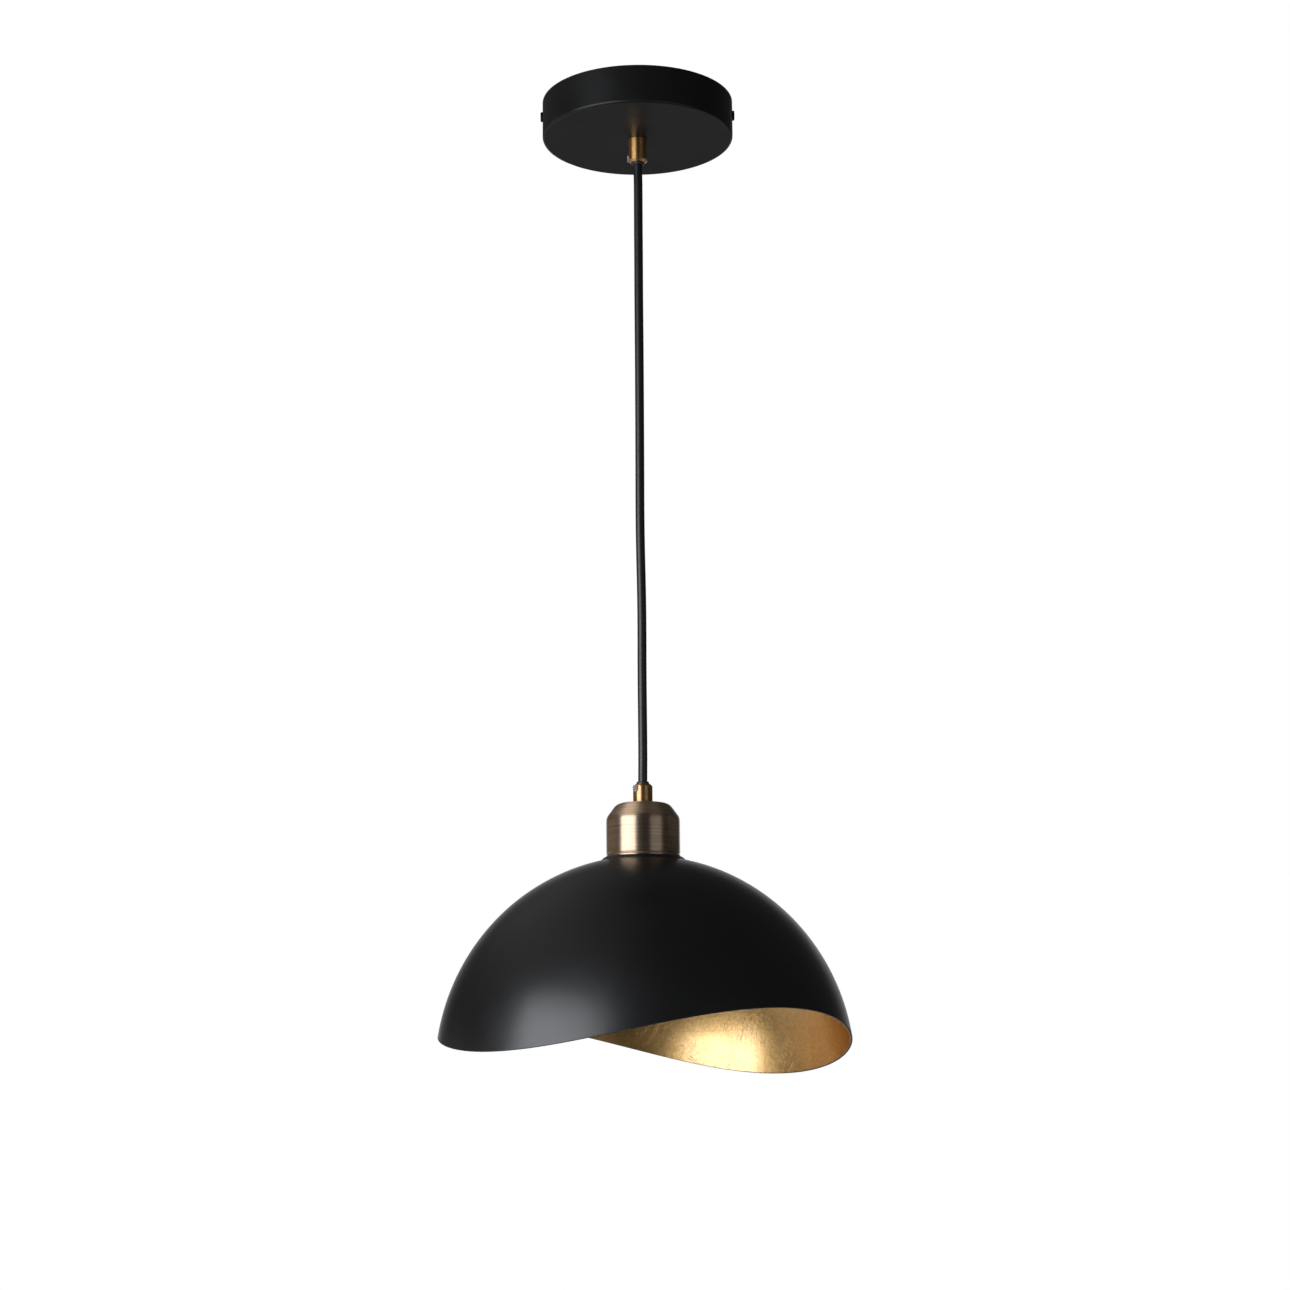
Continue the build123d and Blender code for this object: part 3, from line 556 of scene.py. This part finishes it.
# %% Satin paint: peel and edges
satin_paint, tree, shader = start_finish("satin_paint_on_spun_steel", "#0b0b0c", 0.32)
place = add(tree, "TexCoord").outputs["Object"]
peel = add(tree, "TexNoise", {"Vector": place, "Scale": 1000 / 1.6, "Detail": 2.0})
rounded = add(tree, "Bevel", {"Radius": 0.6 / 1000}, samples=4)
relief = {"Height": peel.outputs["Fac"], "Distance": 0.012 / 1000}
bump = add(tree, "Bump", {**relief, "Normal": rounded.outputs[0]})
turning = add(tree, "Bevel", {"Radius": 1.2 / 1000}, samples=8).outputs[0]
true_normal = add(tree, "NewGeometry").outputs["Normal"]
agree = add(tree, "VectorMath", {0: turning, 1: true_normal}, operation="DOT_PRODUCT")
edge_range = {"From Min": 0.99, "From Max": 0.90, "To Max": 0.65}
thin = add(tree, "MapRange", {"Value": agree.outputs["Value"], **edge_range})
tree.links.new(bump.outputs[0], shader.inputs["Normal"])
print("nodes that draw the peel and the edges:", len(tree.nodes))

# %% Satin paint: gloss and specks
drift = add(tree, "TexNoise", {"Vector": place, "Scale": 1000 / 45, "Detail": 3.0})
gloss_range = {**noise_middle, "To Min": 0.30, "To Max": 0.35}
gloss = add(tree, "MapRange", {"Value": drift.outputs["Fac"], **gloss_range})
gloss = add(tree, "Math", {0: gloss.outputs[0], 1: thin.outputs[0]}, operation="ADD")
blacks = {6: linear("#0a0a0b"), 7: linear("#0d0d0e")}
tone = add(tree, "Mix", {0: drift.outputs["Fac"], **blacks}, data_type="RGBA")
cell_mm, speck_mm, clean_share = 22, 0.264, 0.8
cells = add(tree, "TexVoronoi", {"Vector": place, "Scale": 1000 / cell_mm})
picked = add(tree, "SeparateColor", {0: cells.outputs["Color"]})
reach = {0: cells.outputs["Distance"], 1: speck_mm / cell_mm}
near = add(tree, "Math", reach, operation="LESS_THAN")
few = add(tree, "Math", {0: picked.outputs[0], 1: clean_share}, operation="GREATER_THAN")
speck = add(tree, "Math", {0: near.outputs[0], 1: few.outputs[0]}, operation="MULTIPLY")
dust = linear("#55534f")
colour = add(tree, "Mix", {0: speck.outputs[0], 6: tone.outputs[2], 7: dust}, data_type="RGBA")
tree.links.new(colour.outputs[2], shader.inputs["Base Color"])
tree.links.new(gloss.outputs[0], shader.inputs["Roughness"])
dress(satin_paint, "shade")

# %% [markdown]
# ## The canopy: matte powder coat
#
# The canopy is drawn from steel and powder coated. The powder melts into a skin with a finer,
# rougher grain than sprayed paint, so it looks flatter: it reflects less, and mirrors the brass
# grip only as a soft streak. A slight haze drifts over it.

# %% Powder-coated steel
powder_coat, tree, shader = start_finish(
    "powder_coated_steel", "#101010", 0.36, Specular_IOR_Level=0.22
)
place = add(tree, "TexCoord").outputs["Object"]
grain = add(
    tree, "TexNoise", {"Vector": place, "Scale": 1000 / 0.9, "Detail": 3.0, "Roughness": 0.6}
)
bump = add(tree, "Bump", {"Height": grain.outputs["Fac"], "Distance": 0.014 / 1000})
haze = add(tree, "TexNoise", {"Vector": place, "Scale": 1000 / 30, "Detail": 3.0})
gloss_range = {**noise_middle, "To Min": 0.32, "To Max": 0.40}
gloss = add(tree, "MapRange", {"Value": haze.outputs["Fac"], **gloss_range})
blacks = {6: linear("#0e0e0e"), 7: linear("#121212")}
tone = add(tree, "Mix", {0: haze.outputs["Fac"], **blacks}, data_type="RGBA")
tree.links.new(tone.outputs[2], shader.inputs["Base Color"])
tree.links.new(gloss.outputs[0], shader.inputs["Roughness"])
tree.links.new(bump.outputs[0], shader.inputs["Normal"])
dress(powder_coat, "canopy")

# %% [markdown]
# ## Turned and brushed metal: a shared pattern
#
# Lathe work and spun brushing leave rings round the axis. A ring is a line of constant distance
# along the profile, and the radius minus the height grows steadily along every outline here, so
# noise that changes fast along that sum, and slowly round the axis, draws the rings on flat,
# sloping and upright faces alike, with no seam. Real brush lines are about a tenth of a
# millimetre apart, and turning rings are finer still. Both are drawn several times coarser here,
# or the picture would lose them.

# %% Helper for ring lines
def ring_lines(tree, spacing_mm, length_mm, detail=4.0):
    """Noise drawn out into rings round the lamp's axis."""
    x, y, z = add(tree, "SeparateXYZ", {0: add(tree, "TexCoord").outputs["Object"]}).outputs
    flat = add(tree, "CombineXYZ", {0: x, 1: y})
    radius = add(tree, "VectorMath", {0: flat.outputs[0]}, operation="LENGTH")
    along = add(tree, "Math", {0: radius.outputs["Value"], 1: z}, operation="SUBTRACT")
    stretch = length_mm / spacing_mm
    fast = add(tree, "Math", {0: along.outputs[0], 1: stretch}, operation="MULTIPLY")
    drawn = add(tree, "CombineXYZ", {0: x, 1: y, 2: fast.outputs[0]})
    pattern = {"Vector": drawn.outputs[0], "Scale": 1000 / length_mm, "Detail": detail}
    return add(tree, "TexNoise", pattern)


brush_lines = {"spacing_mm": 0.8, "length_mm": 70}
turning_rings = {"spacing_mm": 0.35, "length_mm": 25}
print("brush lines:", brush_lines, "- turning rings:", turning_rings)

# %% [markdown]
# ## The cup: brushed bronze
#
# The cup is spun brass, plated in a dark bronze, brushed while it turns, and lacquered. The brush
# lines run level, so they smear a reflection up and down but leave its sides sharp, which is why
# the softbox shows as an upright band. An anisotropic metal does the same, with its direction
# taken round the axis, under a thin clear coat. The brush meets the sloping shoulder less
# squarely, so the shoulder is rougher. The lines also change the tone a little, and cloudy patches
# of darker patina lie between them.

# %% Brushed bronze: tone
bronze, tree, shader = start_finish(
    "brushed_bronze_plate", "#b1987d", 0.38, Metallic=1.0, Anisotropic=0.95,
    Anisotropic_Rotation=0.25, Coat_Weight=1.0, Coat_Roughness=0.25,
)
place = add(tree, "TexCoord").outputs["Object"]
lines = ring_lines(tree, **brush_lines).outputs["Fac"]
cloud = add(tree, "TexNoise", {"Vector": place, "Scale": 1000 / 12, "Detail": 3.0})
light_lines = add(tree, "MapRange", {"Value": lines, "From Min": 0.35, "From Max": 0.62})
browns = {6: linear("#9e876d"), 7: linear("#bda287")}
tone = add(tree, "Mix", {0: light_lines.outputs[0], **browns}, data_type="RGBA")
patina_range = {"From Min": 0.45, "From Max": 0.75, "To Max": 0.35}
worn = add(tree, "MapRange", {"Value": cloud.outputs["Fac"], **patina_range})
patina = linear("#8e775f")
tone = add(tree, "Mix", {0: worn.outputs[0], 6: tone.outputs[2], 7: patina}, data_type="RGBA")
tree.links.new(tone.outputs[2], shader.inputs["Base Color"])
print("nodes that draw the bronze's tone:", len(tree.nodes))

# %% Brushed bronze: gloss and direction
gloss_range = {**noise_middle, "To Min": 0.36, "To Max": 0.41}
gloss = add(tree, "MapRange", {"Value": lines, **gloss_range})
facing = add(tree, "SeparateXYZ", {0: add(tree, "NewGeometry").outputs["Normal"]})
slope_range = {"From Min": 0.2, "From Max": 0.5, "To Max": 0.36}
slope = add(tree, "MapRange", {"Value": facing.outputs["Z"], **slope_range})
gloss = add(tree, "Math", {0: gloss.outputs[0], 1: slope.outputs[0]}, operation="ADD")
bump = add(tree, "Bump", {"Height": lines, "Distance": 0.001 / 1000})
round_axis = add(tree, "Tangent", direction_type="RADIAL", axis="Z")
tree.links.new(gloss.outputs[0], shader.inputs["Roughness"])
tree.links.new(bump.outputs[0], shader.inputs["Normal"])
tree.links.new(round_axis.outputs[0], shader.inputs["Tangent"])
dress(bronze, "lampholder_cup")

# %% [markdown]
# ## The cord grips: turned brass with a patina
#
# The grips are turned from brass bar, aged in a bath and lacquered. The bath leaves a brown film
# that handling rubs off the edges. Fine turning rings smear the highlights up and down, as on the
# cup. A cloudy film, and a mask that finds the edges by comparing the true normal with a rounded
# one, make the rest of that finish.

# %% Patinated turned brass
grip_brass, tree, shader = start_finish(
    "patinated_turned_brass", "#b58c54", 0.41, Metallic=1.0, Anisotropic=0.8,
    Anisotropic_Rotation=0.25, Coat_Weight=1.0, Coat_Roughness=0.2,
)
place = add(tree, "TexCoord").outputs["Object"]
lines = ring_lines(tree, **turning_rings).outputs["Fac"]
cloud = add(tree, "TexNoise", {"Vector": place, "Scale": 1000 / 3.5, "Detail": 4.0})
film_range = {"From Min": 0.35, "From Max": 0.7, "To Min": 0.1, "To Max": 0.75}
film = add(tree, "MapRange", {"Value": cloud.outputs["Fac"], **film_range})
brasses = {6: linear("#ba915a"), 7: linear("#9c7442")}
tone = add(tree, "Mix", {0: film.outputs[0], **brasses}, data_type="RGBA")
rounded = add(tree, "Bevel", {"Radius": 0.5 / 1000}, samples=4).outputs[0]
true_normal = add(tree, "NewGeometry").outputs["Normal"]
agree = add(tree, "VectorMath", {0: rounded, 1: true_normal}, operation="DOT_PRODUCT")
edge_range = {"From Min": 0.98, "From Max": 0.80, "To Max": 0.8}
rubbed = add(tree, "MapRange", {"Value": agree.outputs["Value"], **edge_range})
bare = linear("#c79d66")
tone = add(tree, "Mix", {0: rubbed.outputs[0], 6: tone.outputs[2], 7: bare}, data_type="RGBA")
gloss_range = {**noise_middle, "To Min": 0.38, "To Max": 0.45}
gloss = add(tree, "MapRange", {"Value": lines, **gloss_range})
bump = add(tree, "Bump", {"Height": lines, "Distance": 0.002 / 1000, "Normal": rounded})
round_axis = add(tree, "Tangent", direction_type="RADIAL", axis="Z")
tree.links.new(tone.outputs[2], shader.inputs["Base Color"])
tree.links.new(gloss.outputs[0], shader.inputs["Roughness"])
tree.links.new(bump.outputs[0], shader.inputs["Normal"])
tree.links.new(round_axis.outputs[0], shader.inputs["Tangent"])
dress(grip_brass, "upper_cord_grip", "lower_cord_grip")

# %% [markdown]
# ## The dome's inside: laid leaf
#
# The inside is gilded with metal leaf: thin squares about eighty millimetres wide, laid edge over
# edge, rubbed down and varnished. Twelve fit round the dome, and the photograph shows two of their
# seams, thirty degrees apart. A brick pattern drawn on the angle round the dome and the height
# gives the squares, and a little noise makes their edges ragged. A plain metal turns white where it
# is seen at a shallow angle, but leaf over a brown ground stays warm there, so its edge tint is set
# as well.

# %% Squares of leaf
leaves_round, seam_turn, leaf_mm = 12, math.radians(12.4), 78
gold_leaf, tree, shader = start_finish(
    "laid_gold_leaf", "#d3aa6a", 0.31, Metallic=1.0, Specular_Tint=linear("#e6c08c"),
    Coat_Weight=1.0, Coat_Roughness=0.2,
)
place = add(tree, "TexCoord").outputs["Object"]
x, y, z = add(tree, "SeparateXYZ", {0: place}).outputs
angle = add(tree, "Math", {0: x, 1: y}, operation="ARCTAN2")
angle = add(tree, "Math", {0: angle.outputs[0], 1: seam_turn}, operation="SUBTRACT")
leaves_a_radian = leaves_round / (2 * math.pi)
across = add(tree, "Math", {0: angle.outputs[0], 1: leaves_a_radian}, operation="MULTIPLY")
rising = add(tree, "Math", {0: z, 1: 1000 / leaf_mm}, operation="MULTIPLY")
on_wall = add(tree, "CombineXYZ", {0: across.outputs[0], 1: rising.outputs[0]}).outputs[0]
ragged = add(tree, "TexNoise", {"Vector": place, "Scale": 1000 / 9, "Detail": 5.0})
shake = {0: ragged.outputs["Color"], 1: (0.5, 0.5, 0.5)}
shake = add(tree, "VectorMath", shake, operation="SUBTRACT")
shaken = {0: shake.outputs[0], 1: (0.05, 0.05, 0.05), 2: on_wall}
shaken = add(tree, "VectorMath", shaken, operation="MULTIPLY_ADD")
golds = {"Color1": linear("#d0a666"), "Color2": linear("#d8b172"), "Mortar": linear("#d3aa6a")}
sizes = {"Scale": 1.0, "Brick Width": 1.0, "Row Height": 1.0}
seams = {"Mortar Size": 0.006, "Mortar Smooth": 0.3}
squares = add(tree, "TexBrick", {"Vector": shaken.outputs[0], **golds, **sizes, **seams})
print("leaves round the dome:", leaves_round, "- each", leaf_mm, "mm high")

# %% [markdown]
# Rubbing the leaf down leaves hair scratches. Noise stretched in three directions and cut to its
# peaks draws them, thicker in some patches than in others, and several times wider than real ones,
# or the picture would lose them. Where the leaf is scratched, or a seam is broken, the brown ground
# shows. The leaf is trimmed just short of the rim, so a thin line, dark and dull, runs round it.
# It is found as the dome's rim is.

# %% Scratches and the trimmed edge
scratch_strength = 0.75
patches = add(tree, "TexNoise", {"Vector": place, "Scale": 1000 / 24, "Detail": 3.0}).outputs["Fac"]
hair = 0.0
for turn, width_mm, length_mm in ((0.6, 0.7, 14), (-0.9, 0.6, 10), (1.9, 0.7, 20)):
    turned = add(tree, "VectorRotate", {"Vector": on_wall, "Angle": turn}, rotation_type="Z_AXIS")
    stretch = (leaf_mm / length_mm, leaf_mm / width_mm, 1)
    drawn = add(tree, "VectorMath", {0: turned.outputs[0], 1: stretch}, operation="MULTIPLY")
    hairs = add(tree, "TexNoise", {"Vector": drawn.outputs[0], "Scale": 1.0, "Detail": 2.0})
    peak_range = {"From Min": 0.62, "From Max": 0.70}
    peaks = add(tree, "MapRange", {"Value": hairs.outputs["Fac"], **peak_range})
    hair = add(tree, "Math", {0: hair, 1: peaks.outputs[0]}, operation="MAXIMUM").outputs[0]
where_range = {"From Min": 0.4, "From Max": 0.6, "To Min": 0.25}
where = add(tree, "MapRange", {"Value": patches, **where_range})
hair = add(tree, "Math", {0: hair, 1: where.outputs[0]}, operation="MULTIPLY").outputs[0]
broken_range = {"From Min": 0.45, "From Max": 0.6, "To Max": 0.3}
broken = add(tree, "MapRange", {"Value": ragged.outputs["Fac"], **broken_range})
seam = {0: squares.outputs["Fac"], 1: broken.outputs[0]}
seam = add(tree, "Math", seam, operation="MULTIPLY")
bare = add(tree, "Math", {0: hair, 1: seam.outputs[0]}, operation="MAXIMUM")
bare = add(tree, "Math", {0: bare.outputs[0], 1: scratch_strength}, operation="MULTIPLY")
rounded = add(tree, "Bevel", {"Radius": 0.8 / 1000}, samples=8).outputs[0]
true_normal = add(tree, "NewGeometry").outputs["Normal"]
agree = add(tree, "VectorMath", {0: rounded, 1: true_normal}, operation="DOT_PRODUCT")
edge_range = {"From Min": 0.99, "From Max": 0.88}
trimmed = add(tree, "MapRange", {"Value": agree.outputs["Value"], **edge_range})
print("nodes that draw the leaf so far:", len(tree.nodes))

# %% [markdown]
# Finer noise crinkles the leaf and rubs its high points darker. A slow, shallow swell under it
# breaks up the reflections, as the hand-laid surface does.

# %% Laid gold leaf
dull_edge = 0.9
fine = {"Vector": place, "Scale": 1000 / 2.0, "Detail": 7.0, "Roughness": 0.7}
crinkle = add(tree, "TexNoise", fine).outputs["Fac"]
rub_range = {"From Min": 0.35, "From Max": 0.6, "To Min": 0.5, "To Max": 0.0}
rubbed = add(tree, "MapRange", {"Value": crinkle, **rub_range})
rubbed_gold, ground, edge = linear("#a37a3f"), linear("#6d4a22"), linear("#2e2013")
tone = {0: rubbed.outputs[0], 6: squares.outputs["Color"], 7: rubbed_gold}
tone = add(tree, "Mix", tone, data_type="RGBA")
tone = add(tree, "Mix", {0: bare.outputs[0], 6: tone.outputs[2], 7: ground}, data_type="RGBA")
tone = add(tree, "Mix", {0: trimmed.outputs[0], 6: tone.outputs[2], 7: edge}, data_type="RGBA")
gloss_range = {**noise_middle, "To Min": 0.29, "To Max": 0.33}
gloss = add(tree, "MapRange", {"Value": patches, **gloss_range})
gloss = add(tree, "Mix", {0: trimmed.outputs[0], 2: gloss.outputs[0], 3: dull_edge})
relief = add(tree, "Math", {0: crinkle, 1: hair}, operation="SUBTRACT")
bump = add(tree, "Bump", {"Height": relief.outputs[0], "Distance": 0.05 / 1000})
swell = {"Height": patches, "Distance": 0.12 / 1000, "Normal": bump.outputs[0]}
swell = add(tree, "Bump", swell)
tree.links.new(tone.outputs[2], shader.inputs["Base Color"])
tree.links.new(gloss.outputs[0], shader.inputs["Roughness"])
tree.links.new(swell.outputs[0], shader.inputs["Normal"])
dress(gold_leaf, "gold_leaf_lining")

# %% [markdown]
# ## The flex sheath: extruded vinyl
#
# The sheath is pressed through a round die, which leaves hair-fine lines along its length and a
# satin gloss. Noise squeezed across the flex and drawn out along it gives the lines, wider than
# they are, so that they show.

# %% Extruded vinyl sheath
sheath, tree, shader = start_finish("extruded_vinyl_sheath", "#101112", 0.36)
place = add(tree, "TexCoord").outputs["Object"]
drawn = add(tree, "VectorMath", {0: place, 1: (1, 1, 0.01)}, operation="MULTIPLY")
lines = add(tree, "TexNoise", {"Vector": drawn.outputs[0], "Scale": 1000 / 0.6, "Detail": 3.0})
handled = add(tree, "TexNoise", {"Vector": place, "Scale": 1000 / 25, "Detail": 3.0})
gloss_range = {**noise_middle, "To Min": 0.33, "To Max": 0.39}
gloss = add(tree, "MapRange", {"Value": handled.outputs["Fac"], **gloss_range})
blacks = {6: linear("#0e0f10"), 7: linear("#131415")}
tone = add(tree, "Mix", {0: lines.outputs["Fac"], **blacks}, data_type="RGBA")
bump = add(tree, "Bump", {"Height": lines.outputs["Fac"], "Distance": 0.01 / 1000})
tree.links.new(tone.outputs[2], shader.inputs["Base Color"])
tree.links.new(gloss.outputs[0], shader.inputs["Roughness"])
tree.links.new(bump.outputs[0], shader.inputs["Normal"])
dress(sheath, "flex_ceiling_end", "flex_lamp_end")
for tube in (flex_exit_tube, flex_tube):
    tube.data.materials.append(sheath)

# %% [markdown]
# ## Small parts: a shared grain
#
# The small parts differ in colour and gloss, but all have a fine grain: the spark texture of a
# mould, the tooth of a plated or fired surface. One helper draws it and uses it for the relief
# and for a slight change of tone, so that none of them is one flat colour. Real grains are about a
# tenth of a millimetre across. Here they are several times coarser, so that they show.

# %% Helper for grained finishes
cloud_share, gloss_drift = 12, 0.08


def grained_finish(name, dark, light, roughness, grain_mm, depth_mm, **sockets):
    """A finish with a fine grain that shows in its relief and its tone."""
    finish, tree, shader = start_finish(name, light, roughness, **sockets)
    place = add(tree, "TexCoord").outputs["Object"]
    grain = add(tree, "TexNoise", {"Vector": place, "Scale": 1000 / grain_mm, "Detail": 3.0})
    cloud_mm = cloud_share * grain_mm
    cloud = add(tree, "TexNoise", {"Vector": place, "Scale": 1000 / cloud_mm, "Detail": 3.0})
    both = add(tree, "Mix", {0: 0.5, 2: grain.outputs["Fac"], 3: cloud.outputs["Fac"]})
    shades = {6: linear(dark), 7: linear(light)}
    tone = add(tree, "Mix", {0: both.outputs[0], **shades}, data_type="RGBA")
    gloss_range = {"To Min": roughness - gloss_drift, "To Max": roughness + gloss_drift}
    gloss = add(tree, "MapRange", {"Value": cloud.outputs["Fac"], **gloss_range})
    bump = add(tree, "Bump", {"Height": grain.outputs["Fac"], "Distance": depth_mm / 1000})
    tree.links.new(tone.outputs[2], shader.inputs["Base Color"])
    tree.links.new(gloss.outputs[0], shader.inputs["Roughness"])
    tree.links.new(bump.outputs[0], shader.inputs["Normal"])
    return finish, tree, shader


print("a grain of 0.5 mm lies on clouds of", 0.5 * cloud_share, "mm")

# %% [markdown]
# ## Plastics and ceramic
#
# The collars at the grips' mouths and the grip screws are moulded nylon, black and clear. The cap,
# the skirt and the shade ring are moulded phenolic, which stands the heat of a lamp. The insert is
# unglazed ceramic, and the terminal block is natural polyamide, the colour of milk.

# %% Plastics and ceramic
# Nylon from a sparked mould: a dull black, with soft edges to its highlights.
black_nylon, _, _ = grained_finish(
    "moulded_black_nylon", "#0f0f0f", "#1c1c1c", roughness=0.42, grain_mm=0.4, depth_mm=0.010
)
dress(black_nylon, "upper_grip_bushing", "lower_grip_bushing")
# Clear nylon: light goes in and scatters, so it looks milky rather than glassy.
clear_nylon, _, _ = grained_finish(
    "moulded_clear_nylon", "#c9c5b8", "#e2dfd4", roughness=0.25, grain_mm=0.6, depth_mm=0.010,
    Transmission_Weight=0.75, IOR=1.53,
)
dress(clear_nylon, "upper_grip_screw", "lower_grip_screw")
# Phenolic: dense and brown-black, with a clearer shine than nylon.
phenolic, _, _ = grained_finish(
    "moulded_phenolic", "#12100f", "#1e1b19", roughness=0.32, grain_mm=0.8, depth_mm=0.012
)
dress(phenolic, "lampholder_cap", "shade_ring")
threaded_skirt.data.materials.append(phenolic)
# Unglazed steatite: pale and chalky, with no mirror image at all.
steatite, _, _ = grained_finish(
    "unglazed_steatite", "#cfc8b8", "#ece6d8", roughness=0.62, grain_mm=0.5, depth_mm=0.030
)
dress(steatite, "lampholder_insert")
# Natural polyamide: milk white, with a little light carried under its skin.
polyamide, _, _ = grained_finish(
    "natural_polyamide", "#d8d3c4", "#ebe7da", roughness=0.45, grain_mm=0.7, depth_mm=0.015,
    Subsurface_Weight=0.2,
)
dress(polyamide, "terminal_block")

# %% [markdown]
# ## Steel and brass hardware
#
# The bracket and most screws are steel with a bright zinc plate, and the two side screws are
# blackened to match the canopy. The terminals, the nut, the contact and the screw shell carry
# current or earth, so they are plain rolled brass.

# %% Steel and brass hardware
# Bright zinc plate: a bluish grey, with its shine broken into soft clouds.
zinc, _, _ = grained_finish(
    "bright_zinc_plated_steel", "#9aa0a4", "#c6cacc", roughness=0.38, grain_mm=0.9, depth_mm=0.006,
    Metallic=1.0,
)
dress(
    zinc, "ceiling_bracket", "terminal_screws", "terminal_fixing_screw", "earth_screw",
    "canopy_washer",
)
# Black oxide: nearly as dark as paint, but with the glint of metal.
black_oxide, _, _ = grained_finish(
    "black_oxide_steel", "#1b1b1c", "#2a2a2b", roughness=0.40, grain_mm=0.4, depth_mm=0.006,
    Metallic=1.0,
)
for screw in side_screws:
    screw.data.materials.append(black_oxide)
# Rolled brass: clean and smooth, brighter and yellower than the aged grips.
plain_brass, _, _ = grained_finish(
    "rolled_brass", "#b98f45", "#d6b167", roughness=0.28, grain_mm=0.7, depth_mm=0.004, Metallic=1.0
)
dress(
    plain_brass, "terminal_sleeves", "earth_tag", "canopy_nut", "earth_terminal",
    "lampholder_terminals", "contact_rivet", "centre_contact",
)
rolled_shell.data.materials.append(plain_brass)

# %% [markdown]
# ## The cores
#
# Inside the canopy and the cup the sheath is stripped back, and its three insulated cores show.
# Live is brown and neutral is blue. Earth is yellow with a green stripe along it, drawn by which
# side of the core a point lies on: in the canopy that core runs from left to right, so its sides
# are front and back, and in the cup it runs to the back, so its sides are left and right.

# %% Insulated cores
# Extruded vinyl: a strong colour under an even, waxy shine.
core_skin = {"roughness": 0.34, "grain_mm": 0.6, "depth_mm": 0.008}
brown, _, _ = grained_finish("extruded_brown_core", "#4a2a19", "#5d3824", **core_skin)
dress(brown, "ceiling_live_core", "lamp_live_core")
blue, _, _ = grained_finish("extruded_blue_core", "#1f4f9e", "#2f66b8", **core_skin)
dress(blue, "ceiling_neutral_core", "lamp_neutral_core")
green = linear("#2f7d3a")
for node, side in (("ceiling_earth_core", "Y"), ("lamp_earth_core", "X")):
    name = "extruded_striped_core_" + side.lower()
    striped, tree, shader = grained_finish(name, "#c9b21e", "#e0cb3a", **core_skin)
    parts = add(tree, "SeparateXYZ", {0: add(tree, "TexCoord").outputs["Object"]})
    low, high = (corner["XY".index(side)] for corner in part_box(node))
    middle = (low + high) / 2
    beyond = add(tree, "Math", {0: parts.outputs[side], 1: middle}, operation="GREATER_THAN")
    yellow = shader.inputs["Base Color"].links[0].from_socket
    stripe = add(tree, "Mix", {0: beyond.outputs[0], 6: yellow, 7: green}, data_type="RGBA")
    tree.links.new(stripe.outputs[2], shader.inputs["Base Color"])
    dress(striped, node)

# %% [markdown]
# ## Solids without a finish
#
# Every solid should have a finish by now, and the last cell lists any that has none.

# %% List solids without a finish
print("solids left without a finish:", sorted(undressed) or "none")
